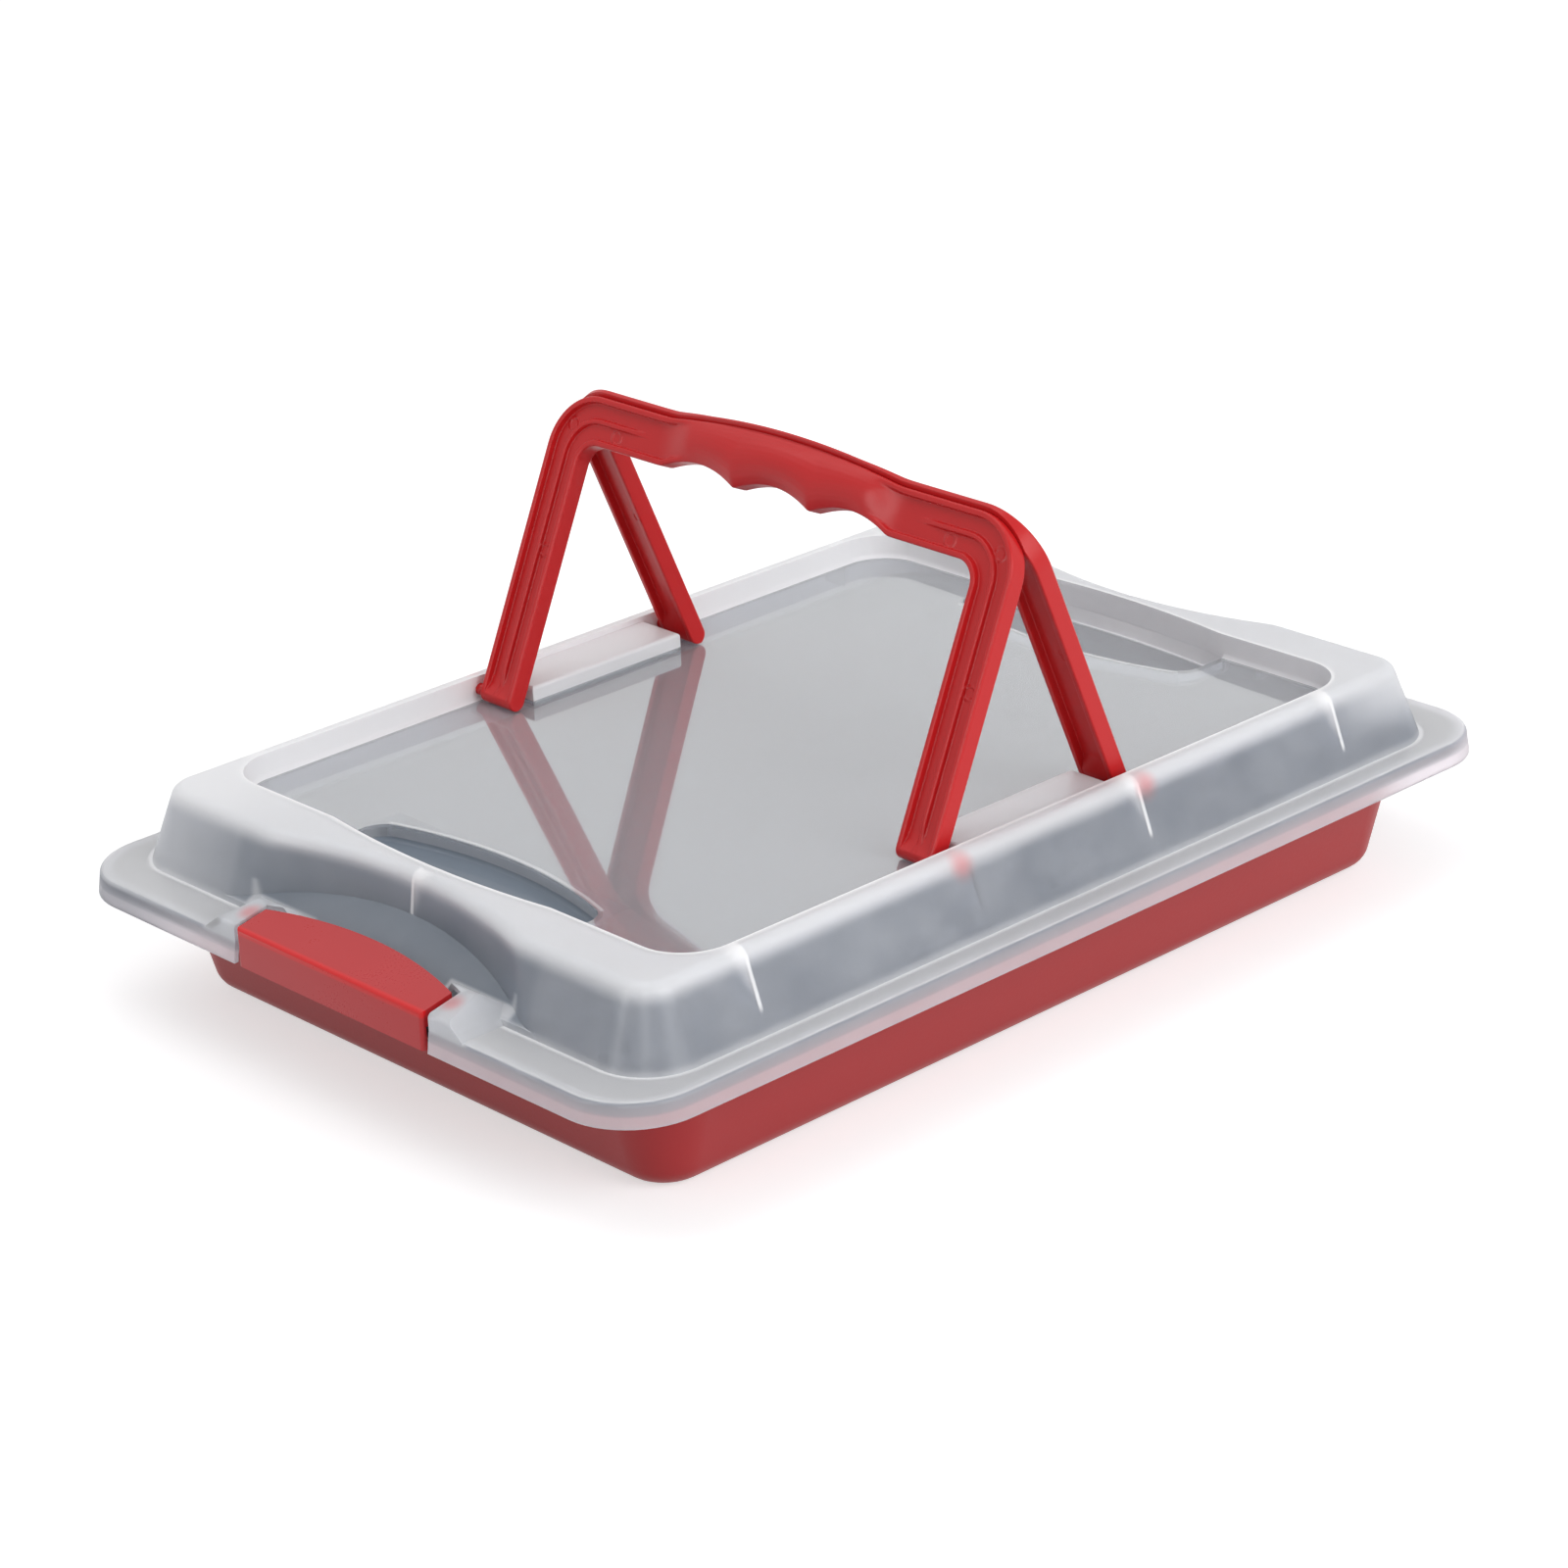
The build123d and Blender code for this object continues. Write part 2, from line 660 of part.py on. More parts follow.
front_bail = make_bail(-1)
front_bail.label = "front_handle"
export_step(front_bail, "parts/front_handle.step")
rear_bail = make_bail(1)
rear_bail.label = "rear_handle"
export_step(rear_bail, "parts/rear_handle.step")
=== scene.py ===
"""Baking pan with a carry lid: finishes, detail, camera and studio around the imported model."""
import bmesh
import bpy
import numpy as np
from mathutils import Matrix, Vector


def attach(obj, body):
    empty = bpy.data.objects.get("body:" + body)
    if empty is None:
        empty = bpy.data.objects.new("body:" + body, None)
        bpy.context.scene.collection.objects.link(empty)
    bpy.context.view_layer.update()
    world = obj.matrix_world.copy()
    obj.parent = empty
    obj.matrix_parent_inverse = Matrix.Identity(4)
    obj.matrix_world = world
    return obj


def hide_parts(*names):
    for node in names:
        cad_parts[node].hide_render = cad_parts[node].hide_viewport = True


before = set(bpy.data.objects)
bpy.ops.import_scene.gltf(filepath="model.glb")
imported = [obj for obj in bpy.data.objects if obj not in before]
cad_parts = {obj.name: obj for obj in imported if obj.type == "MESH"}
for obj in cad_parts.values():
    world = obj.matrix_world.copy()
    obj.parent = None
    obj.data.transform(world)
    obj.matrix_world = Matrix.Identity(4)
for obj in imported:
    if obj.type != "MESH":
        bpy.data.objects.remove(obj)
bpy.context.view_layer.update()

bl_info = {
    "name": "Baking Pan with Carry Lid",
    "version": (1, 0, 0),
    "blender": (4, 5, 0),
    "location": "3D View > Sidebar > Baking Pan",
    "description": "Dresses a baking pan, its frosted carry lid, fold-down handles and end clips",
    "category": "Add Mesh",
}

WHITE = (1, 1, 1, 1)

# Camera of the photograph, in metres: its place and the directions of its right, top and back
CAMERA_PLACE = (-0.99976, -1.07994, 0.67136)
CAMERA_RIGHT = (0.72867, -0.68354, -0.04275)
CAMERA_UP = (0.29269, 0.25436, 0.92175)
CAMERA_BACK = (-0.61918, -0.68416, 0.38541)
CAMERA_SHIFT = (0.0223, -0.0053)
CAMERA_SENSOR_MM = 36.0
CAMERA_CLIP = (0.05, 50.0)

# Lamps: where each stands, what it points at and how wide it is, in metres
PAN_MIDDLE = (0, 0, 0.05)
KEY_PLACE = (0.22, -2.15, 1.10)
KEY_SIZE = 1.6
TOP_PLACE = (-0.5, 0.6, 2.2)
TOP_SIZE = 1.8
TOP_SHARE = 0.45
STRIP_PLACES = (("left strip", (-1.45, -1.15, 0.75)), ("back strip", (-1.70, 0.36, 0.58)))
STRIP_TARGET = (-0.19, -0.13, 0.06)
STRIP_WIDTH = 0.28
STRIP_LENGTH = 1.1
FLOOR_DROP = 0.0004
FLOOR_GLOW = 0.56

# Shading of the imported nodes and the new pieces
WELD_DISTANCE = 0.00001
CREASE_ANGLE = 0.5
FACE_WEIGHT = 90
PLASTIC_IOR = 1.5

# Pan: the height at which red enamel gives way to the dark rim, how far outward a face has to look to be
# red, how much its underside counts, and where the foot is scuffed
RIM_EDGE = (0.0432, 0.0424)
OUTSIDE_EDGE = (0.0, 0.004)
UNDERSIDE = 0.08
SCUFF_PATCHES = (0.60, 0.78)
SCUFF_HEIGHT = (0.012, 0.0)
SCUFF_TONE = (0.16, 0.05, 0.05, 1)

# Lid outlines: half length, half width and corner radius in metres
PANEL_OUTLINE = (0.1612, 0.1188, 0.0185)
FOOT_OUTLINE = (0.1928, 0.1347, 0.0210)
# The panel's short edges bow outwards by the depth in their middle part
BOW_HALF_WIDTH = 0.056
BOW_DEPTH = 0.0042
# The finger wells are circles in plan, centred beyond the lid's ends
WELL_CENTRE = 0.3115
WELL_RADIUS = 0.1812
# Webs in the hollow ridge: their places along the long sides, and how wide their flare grows with height
WEB_PLACES = (-0.1410, 0.0405, 0.1410)
WEB_FOOT = 0.0570
WEB_SPREAD = 0.5
WEB_LEAST = 0.0005
WEB_FLARE = 0.55
# Pins that shine through: along, across and height of the middle, then the reach of the pink
HANDLE_PIN = ((0.0444, 0.1240, 0.0720), 0.0075)
CLIP_PIN = ((0.2015, 0.0525, 0.0560), 0.0060)
PIN_TONE = (0.90, 0.30, 0.32, 1)
MILKY_PIN_TONE = (0.92, 0.46, 0.48, 1)

# Where each zone of the lid begins and where it is full, in metres, or as a share for a slope
LID_EDGES = {
    "panel outline": (-0.0010, -0.0018),
    "panel top": (0.0694, 0.0686),
    "low part": (0.0508, 0.0522),
    "well top": (0.0668, 0.0650),
    "well start": (0.1300, 0.1312),
    "well end": (0.1690, 0.1672),
    "well side": (0.0600, 0.0588),
    "well floor slope": (0.10, 0.35),
    "front half": (0.02, -0.02),
    "rear well top": (0.0676, 0.0664),
    "rear well start": (0.1280, 0.1300),
    "rear well end": (0.1700, 0.1685),
    "rear well side": (0.0630, 0.0610),
    "skirt top": (0.0492, 0.0476),
    "skirt shade": (0.0446, 0.0456),
    "flange slope": (0.75, 0.92),
    "ridge height": (0.0690, 0.0753),
    "ridge outline": (0.0055, 0.0040),
    "ridge foot": (0.0665, 0.0680),
    "far side": (0.0600, 0.1200),
    "ear start": (0.1866, 0.1880),
    "ear inner side": (0.0340, 0.0360),
    "ear outer side": (0.0700, 0.0672),
    "ear top": (0.0600, 0.0588),
    "recess start": (0.1700, 0.1740),
    "recess side": (0.0800, 0.0740),
    "recess floor tilt": (0.70, 0.80),
    "recess floor level": (0.96, 0.90),
    "recess wall tilt": (0.55, 0.40),
    "rear corner start": (0.1300, 0.1900),
    "rear corner height": (0.0540, 0.0700),
    # the painted highlight lines: at the foot of the walls, along the panel's rim and along the well's edge
    "foot line": (0.0016, 0.0002),
    "foot line top": (0.0530, 0.0515),
    "rim line": (0.0008, 0.0002),
    "rim line height": (0.0668, 0.0676),
    "well line": (0.0010, 0.0003),
    "well line side": (0.0560, 0.0540),
    "side web start": (0.1190, 0.1210),
    "end web start": (0.1680, 0.1700),
    "web line": (0.0011, 0.0004),
    "web line foot": (0.0560, 0.0590),
    "web flare side": (-0.0004, 0.0002),
    "web flare height": (0.0570, 0.0700),
}
# Offsets of the painted highlight lines from the wall's foot and from the panel's rim
FOOT_HIGHLIGHT_OFFSET = 0.0004
RIM_HIGHLIGHT_OFFSET = 0.0006

# How milky each zone of the lid is. Part of this is painted light: a paler far side, rear well and rear
# corner, painted highlights on the ears, and painted highlight lines along edges
MILK_AND_PAINTED_LIGHT = {
    "panel": 0.10,
    "skirt": 0.15,
    "flange": 0.53,
    "ridge": 0.60,
    # painted light: the far ridge is paler, as if lit through from behind
    "far ridge": 0.25,
    # painted highlight: the ears are made milkier to stand in for their white highlights
    "ear": 0.34,
    "wall": 0.07,
    # painted light: the far walls are paler, as if lit through from behind
    "far wall": 0.42,
    # painted light: the rear finger well and the rear corner of the wall are made paler
    "rear well": 0.85,
    "rear corner": 0.80,
    "pins": 0.10,
    "wall clouds": 0.34,
    "smudges": 0.16,
    "webs": 0.75,
    # painted highlights: thin bright lines at the foot of the walls, along the panel's rim and along the
    # front well's edge
    "foot line": 0.35,
    "rim line": 0.45,
    "well line": 0.30,
}

# Painted shade: how far a dark layer covers each zone of the lid, standing in for the dark pan seen through
# it and for the shade in its wells and recess
PAINTED_SHADE = {
    # painted shade on the front finger well only, which is darker than the rear one
    "front well": 0.80,
    "well": 0.05,
    "recess floor": 0.36,
    "recess wall": 0.14,
    "bare wall": 0.15,
    "smudged wall": 0.45,
    "skirt shade": 0.16,
    "far skirt": 0.34,
}

# Clips: distance from the middle and height of the painted highlight along the front edge of their top, and
# its half width
CLIP_HIGHLIGHT_EDGE = (0.2104, 0.0540)
HIGHLIGHT_EDGE_WIDTH = (0.0021, 0.0009)

# Handles: stations along the foot, a leg, a bend and half of the bar
FOOT_STATIONS = 8
LEG_STATIONS = 25
BEND_STATIONS = 19
BAR_STATIONS = 95
FOOT_LEAST = 0.12
CROWN_SOFTNESS = 0.004
GROOVE_SOFTNESS = 0.012
# Distances from the handle's middle at which the leg's section starts to fill and is the full grip
GRIP_START = 0.064
GRIP_FULL = 0.044
GRIP_HALF = 0.058
GRIP_POWER = 0.9
# Places of the section's twelve face corners across the grip, from its lower to its upper edge
GRIP_SPOTS = (-1, -0.86, -0.7, -0.5, -0.28, -0.09, 0.09, 0.28, 0.5, 0.7, 0.86, 1)
# Relief of the leg's face: the lips' flank, the rib's share of the depth, and where each begins and ends
LIP_FLANK = 0.0003
RIB_RISE = 0.7
RIB_FOOT = 1.3
RIB_TOP = 0.8
RIB_START = (0.004, 0.009)
RIB_END = (-0.084, -0.066)
FACE_START = (0.001, 0.0045)
# The channel in the back of each leg
CHANNEL_DEPTH = 0.003
CHANNEL_START = (0.003, 0.007)
CHANNEL_END = (-0.006, 0.004)
# Rounding of the section's corners: relief, face edge on a leg, what the grip adds to it, and back edge
RELIEF_ROUND = 0.00045
FACE_ROUND = 0.0010
GRIP_ROUND = 0.0022
BACK_ROUND = 0.0007
CURVE_POINTS = 5
# The two handles meet with this gap, and the face keeps this much plastic there
MEETING_GAP = 0.00015
LEAST_SKIN = 0.0008
# A pin's distances across the lid and its radius at each, as a share
PIN_ACROSS = (0.1135, 0.1180, 0.1218, 0.1224, 0.1226)
PIN_SHARE = (1, 1, 1, 0.8, 0.4)
PIN_SIDES = 24
# Round ejector marks on a handle's face: across its width, up from its pins
MARK_SPOTS = ((0.106, 0.102), (-0.106, 0.102), (0.083, 0.1015), (-0.083, 0.1015), (-0.1095, 0.0554),
              (0.1035, 0.0554))
MARK_OUTER = 0.0032
MARK_INNER = 0.0022


class Number:
    """A number socket in a shader tree. Arithmetic on it adds Math nodes."""

    def __init__(self, shading, socket):
        self.shading = shading
        self.socket = socket

    def math(self, operation, *others, clamp=False, turned=False):
        """A Math node of this number and the others; turned puts this number last."""
        values = (*others, self) if turned else (self, *others)
        settings = {"operation": operation, "use_clamp": clamp}
        return self.shading.node("ShaderNodeMath", settings, dict(enumerate(values))).number()

    def __add__(self, other):
        return self.math("ADD", other)

    __radd__ = __add__

    def __sub__(self, other):
        return self.math("SUBTRACT", other)

    def __rsub__(self, other):
        return self.math("SUBTRACT", other, turned=True)

    def __mul__(self, other):
        return self.math("MULTIPLY", other)

    __rmul__ = __mul__

    def __truediv__(self, other):
        return self.math("DIVIDE", other)

    def __rtruediv__(self, other):
        return self.math("DIVIDE", other, turned=True)

    def __abs__(self):
        return self.math("ABSOLUTE")

    def root(self):
        """The square root."""
        return self.math("SQRT")

    def least(self, other):
        """The smaller of two numbers."""
        return self.math("MINIMUM", other)

    def most(self, other):
        """The larger of two numbers."""
        return self.math("MAXIMUM", other)

    def clamped(self):
        """The number held between 0 and 1."""
        return self.math("ADD", 0.0, clamp=True)

    def ramp(self, start, end):
        """0 before start, 1 after end, smooth between them; start may be the larger."""
        return self.shading.node("ShaderNodeMapRange", {"interpolation_type": "SMOOTHSTEP"},
                                 {"Value": self, "From Min": start, "From Max": end}).number()


class Made:
    """A node just made, with its outputs by name or place."""

    def __init__(self, shading, node):
        self.shading = shading
        self.node = node

    def out(self, name=0):
        """An output socket."""
        return self.node.outputs[name]

    def number(self, name=0):
        """An output as a number to calculate with."""
        return Number(self.shading, self.node.outputs[name])


class Shading:
    """The node tree of a material or of the world."""

    def __init__(self, owner):
        owner.use_nodes = True
        self.tree = owner.node_tree
        self.tree.nodes.clear()
        self.known = {}

    def node(self, kind, settings=None, sources=None):
        """Any node: its settings first, then the values or links of its sockets."""
        made = self.tree.nodes.new(kind)
        for key, value in (settings or {}).items():
            setattr(made, key, value)
        for key, value in (sources or {}).items():
            socket = made.inputs[key]
            if isinstance(value, Number):
                self.tree.links.new(value.socket, socket)
            elif isinstance(value, bpy.types.NodeSocket):
                self.tree.links.new(value, socket)
            else:
                socket.default_value = value
        return Made(self, made)

    def seen(self):
        """1 for rays that see the surface, also in a mirror or through plastic, and 0 for its light."""
        path = self.node("ShaderNodeLightPath")
        return (path.number("Is Camera Ray") + path.number("Is Glossy Ray")
                + path.number("Is Transmission Ray")).clamped()


class Finish(Shading):
    """A material and its node tree."""

    def __init__(self, name):
        self.material = bpy.data.materials.new(name)
        super().__init__(self.material)

    def coordinates(self):
        """The node that gives the place in object space and the surface's own direction."""
        if "coordinates" not in self.known:
            self.known["coordinates"] = self.node("ShaderNodeTexCoord")
        return self.known["coordinates"]

    def split(self, vector):
        """The three numbers of a vector."""
        apart = self.node("ShaderNodeSeparateXYZ", None, {0: vector})
        return apart.number(0), apart.number(1), apart.number(2)

    def facing(self):
        """The surface's own direction in object space, as three numbers."""
        return self.split(self.coordinates().out("Normal"))

    def xyz(self):
        """The place in object space, as three numbers."""
        if "xyz" not in self.known:
            self.known["xyz"] = self.split(self.coordinates().out("Object"))
        return self.known["xyz"]

    def noise(self, scale, detail=2.0, roughness=0.5):
        """Smooth noise from 0 to 1 on object space, scale in bumps per metre."""
        return self.node("ShaderNodeTexNoise", None,
                         {"Vector": self.coordinates().out("Object"), "Scale": scale, "Detail": detail,
                          "Roughness": roughness}).number()

    def outline(self, along, across, half_length, half_width, corner):
        """Distance outside a rounded rectangle, below zero inside it; along and across are not negative."""
        past_x = along - (half_length - corner)
        past_y = across - (half_width - corner)
        out_x = past_x.most(0.0)
        out_y = past_y.most(0.0)
        return (out_x * out_x + out_y * out_y).root() + past_x.most(past_y).least(0.0) - corner

    def near(self, place, spot, reach, core=0.15):
        """1 within the core share of the reach from a spot, 0 beyond the reach, soft between."""
        square = None
        for value, middle in zip(place, spot):
            off = value - middle
            square = off * off if square is None else square + off * off
        return square.root().ramp(reach, reach * core)

    def blend(self, factor, first, second):
        """Two colours mixed by a number. The Mix node's sockets go by place, as several share a name."""
        return self.node("ShaderNodeMix", {"data_type": "RGBA"}, {0: factor, 6: first, 7: second}).out(2)

    def bump(self, height, strength, distance, normal=None):
        """Surface relief from a height, on top of another relief if there is one."""
        sources = {"Height": height, "Strength": strength, "Distance": distance}
        if normal is not None:
            sources["Normal"] = normal
        return self.node("ShaderNodeBump", None, sources).out()

    def shader(self, **sockets):
        """The general surface shader, its sockets named with underscores."""
        names = {key.replace("_", " "): value for key, value in sockets.items()}
        return self.node("ShaderNodeBsdfPrincipled", None, names).out()

    def layered(self, factor, first, second):
        """Two shaders mixed by a number."""
        return self.node("ShaderNodeMixShader", None, {0: factor, 1: first, 2: second}).out()

    def done(self, surface):
        """The material, with the surface as its output."""
        self.node("ShaderNodeOutputMaterial", None, {"Surface": surface})
        return self.material


def colour(value, level=1.0, lift=0.0):
    """An opaque colour, brightened by a level and a lift."""
    return (value[0] * level + lift, value[1] * level + lift, value[2] * level + lift, 1.0)


def highest(masks):
    """The highest of several masks."""
    total = masks[0]
    for mask in masks[1:]:
        total = total.most(mask)
    return total


def weighted(masks, shares):
    """The sum of the named masks, each times its share."""
    total = 0.0
    for name, part in shares.items():
        total = masks[name] * part + total
    return total


def rounded_loops(corners, reach):
    """Many closed loops at once, each corner turned into a short curve.

    The curve runs from a, the given reach along one edge, to b on the next edge:
    (1 - t)^2 a + 2 t (1 - t) corner + t^2 b.  The reach stays under 0.45 of the shorter edge.
    """
    back = np.roll(corners, 1, axis=1) - corners
    ahead = np.roll(corners, -1, axis=1) - corners
    back_length = np.linalg.norm(back, axis=2, keepdims=True)
    ahead_length = np.linalg.norm(ahead, axis=2, keepdims=True)
    step = np.minimum(reach[:, :, None], 0.45 * np.minimum(back_length, ahead_length))
    a = corners + back / np.maximum(back_length, 1e-9) * step
    b = corners + ahead / np.maximum(ahead_length, 1e-9) * step
    t = np.linspace(0, 1, CURVE_POINTS)[None, None, :, None]
    curve = (1 - t) ** 2 * a[:, :, None] + 2 * t * (1 - t) * corners[:, :, None] + t ** 2 * b[:, :, None]
    return curve.reshape(len(corners), -1, 2)


def smooth(value, start, end):
    """0 before start, 1 after end, 3 t^2 - 2 t^3 between them."""
    t = np.clip((value - start) / (end - start), 0, 1)
    return t * t * (3 - 2 * t)


def tube_faces(stations, around, first=0):
    """Quads of a grid that is closed around, and one face over each end."""
    row = np.arange(stations - 1)[:, None]
    column = np.arange(around)[None, :]
    following = (column + 1) % around
    quads = np.stack([row * around + column, row * around + following,
                      (row + 1) * around + following, (row + 1) * around + column], axis=2)
    faces = (quads.reshape(-1, 4) + first).tolist()
    faces.append((np.arange(around)[::-1] + first).tolist())
    faces.append((np.arange(around) + first + (stations - 1) * around).tolist())
    return faces


def turn_outward(piece):
    """Faces of each closed part point outwards."""
    work = bmesh.new()
    work.from_mesh(piece.data)
    bmesh.ops.recalc_face_normals(work, faces=work.faces)
    work.to_mesh(piece.data)
    work.free()


def shade_smooth(mesh):
    """Every face of a mesh shaded smooth."""
    mesh.polygons.foreach_set("use_smooth", [True] * len(mesh.polygons))


def new_piece(name, points, faces, material, body):
    """A mesh object at the origin whose place is in its vertices, riding on a body."""
    mesh = bpy.data.meshes.new(name)
    mesh.from_pydata(points.tolist(), [], faces)
    mesh.validate()
    mesh.materials.append(material)
    shade_smooth(mesh)
    mesh.update()
    piece = bpy.data.objects.new(name, mesh)
    bpy.context.scene.collection.objects.link(piece)
    even = piece.modifiers.new("even shading", "WEIGHTED_NORMAL")
    even.weight = FACE_WEIGHT
    turn_outward(piece)
    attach(piece, body)
    return piece


def dress(node, material):
    """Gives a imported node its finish, joins its loose triangles for shading and keeps its sharp edges."""
    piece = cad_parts[node]
    piece.data.materials.clear()
    piece.data.materials.append(material)
    shade_smooth(piece.data)
    weld = piece.modifiers.new("joined edges", "WELD")
    weld.merge_threshold = WELD_DISTANCE
    split = piece.modifiers.new("crisp edges", "EDGE_SPLIT")
    split.split_angle = CREASE_ANGLE
    split.use_edge_angle = True
    split.use_edge_sharp = False


def length(name, description, value):
    """A length property in metres."""
    return bpy.props.FloatProperty(name=name, description=description, default=value, min=0.0, precision=4,
                                   subtype="DISTANCE", unit="LENGTH")


def angle(name, description, value):
    """An angle property in radians."""
    return bpy.props.FloatProperty(name=name, description=description, default=value, subtype="ANGLE",
                                   unit="ROTATION")


def power(name, description, value):
    """A lamp's power in watts."""
    return bpy.props.FloatProperty(name=name, description=description, default=value, min=0.0,
                                   subtype="POWER", unit="POWER")


def share(name, description, value):
    """A property from 0 to 1."""
    return bpy.props.FloatProperty(name=name, description=description, default=value, min=0.0, max=1.0,
                                   subtype="FACTOR")


def tone(name, description, value):
    """A colour property."""
    return bpy.props.FloatVectorProperty(name=name, description=description, default=value, size=3, min=0.0,
                                         max=1.0, subtype="COLOR")


class StudioSettings(bpy.types.PropertyGroup):
    """Floor, lamps and camera."""

    floor_size: length("Floor size", "Side of the floor", 8.0)
    floor_tone: tone("Floor tone", "Colour of the floor", (0.66, 0.66, 0.67))
    room_light: share("Room light", "Strength of the soft light all round", 0.62)
    key_watts: power("Key lamp", "Power of the large soft lamp at the right", 28.0)
    strip_watts: power("Strip lamps", "Power of each tall narrow lamp", 7.0)
    lens: bpy.props.FloatProperty(name="Lens", description="Focal length of the camera", default=103.82,
                                  min=10.0, subtype="DISTANCE_CAMERA")


class PanSettings(bpy.types.PropertyGroup):
    """Enamelled steel pan."""

    enamel: tone("Enamel", "Red outside of the pan", (0.385, 0.030, 0.032))
    coating: tone("Coating", "Dark non-stick inside and rim", (0.045, 0.047, 0.052))


class LidSettings(bpy.types.PropertyGroup):
    """Frosted, translucent lid."""

    body_tone: tone("Plastic", "Colour of the frosted plastic", (0.86, 0.90, 0.96))
    milk_tone: tone("Milky plastic", "Colour of its thicker, whiter parts", (0.95, 0.95, 0.97))
    wall_tone: tone("Wall plastic", "Colour of the frosted walls", (0.76, 0.80, 0.89))
    skirt_tone: tone("Skirt plastic", "Colour of the thin skirt", (0.94, 0.87, 0.92))
    shade_tone: tone("Shaded plastic", "Colour where the dark pan shows through", (0.155, 0.190, 0.235))
    clearness: share("Clearness", "Share of light that passes through", 0.84)
    frost: share("Frost", "Roughness of the frosted walls", 0.36)
    panel_gloss: share("Panel roughness", "Roughness of the polished panel", 0.05)


class RedSettings(bpy.types.PropertyGroup):
    """Red plastic of the handles and clips."""

    plastic: tone("Red plastic", "Colour of the handles", (0.56, 0.013, 0.015))
    clip_plastic: tone("Clip plastic", "Colour of the clips", (0.50, 0.020, 0.024))


class HandleSettings(bpy.types.PropertyGroup):
    """Shape of the two bail handles."""

    spacing: length("Half spacing", "Distance of a handle's pins from the middle", 0.0444)
    pin_height: length("Pin height", "Height of the pins over the table", 0.0715)
    half_width: length("Half width", "Half of the handle's outer width", 0.115)
    leg: length("Leg", "Width of a leg", 0.017)
    bar: length("Bar", "Width of the bar across the top", 0.0174)
    height: length("Height", "From the pins to the top edge", 0.114)
    thickness: length("Thickness", "Thickness of leg and bar", 0.007)
    outer_corner: length("Outer corner", "Radius of the outer corners", 0.021)
    inner_corner: length("Inner corner", "Radius of the inner corners", 0.008)
    crown: length("Crown", "Rise of the grip's top edge", 0.0042)
    bulge: length("Bulge", "How far the grip stands out", 0.0042)
    groove_pitch: length("Groove pitch", "Distance between the finger grooves", 0.0375)
    groove_depth: length("Groove depth", "Depth of the finger grooves", 0.0046)
    lip: length("Lip", "Width of the raised edges", 0.0022)
    recess: length("Recess", "Depth between the raised edges", 0.0022)
    rib: length("Rib", "Width of the middle rib", 0.0018)
    pin_radius: length("Pin radius", "Radius of the pivot pins", 0.0022)
    lean: angle("Lean", "Lean of each handle towards the other", 0.411898)
    sway: angle("Sway", "Lean of the pair towards the rear", 0.019199)


class BakingPanSettings(bpy.types.PropertyGroup):
    """All the settings of the baking pan."""

    studio: bpy.props.PointerProperty(type=StudioSettings)
    pan: bpy.props.PointerProperty(type=PanSettings)
    lid: bpy.props.PointerProperty(type=LidSettings)
    red: bpy.props.PointerProperty(type=RedSettings)
    handle: bpy.props.PointerProperty(type=HandleSettings)


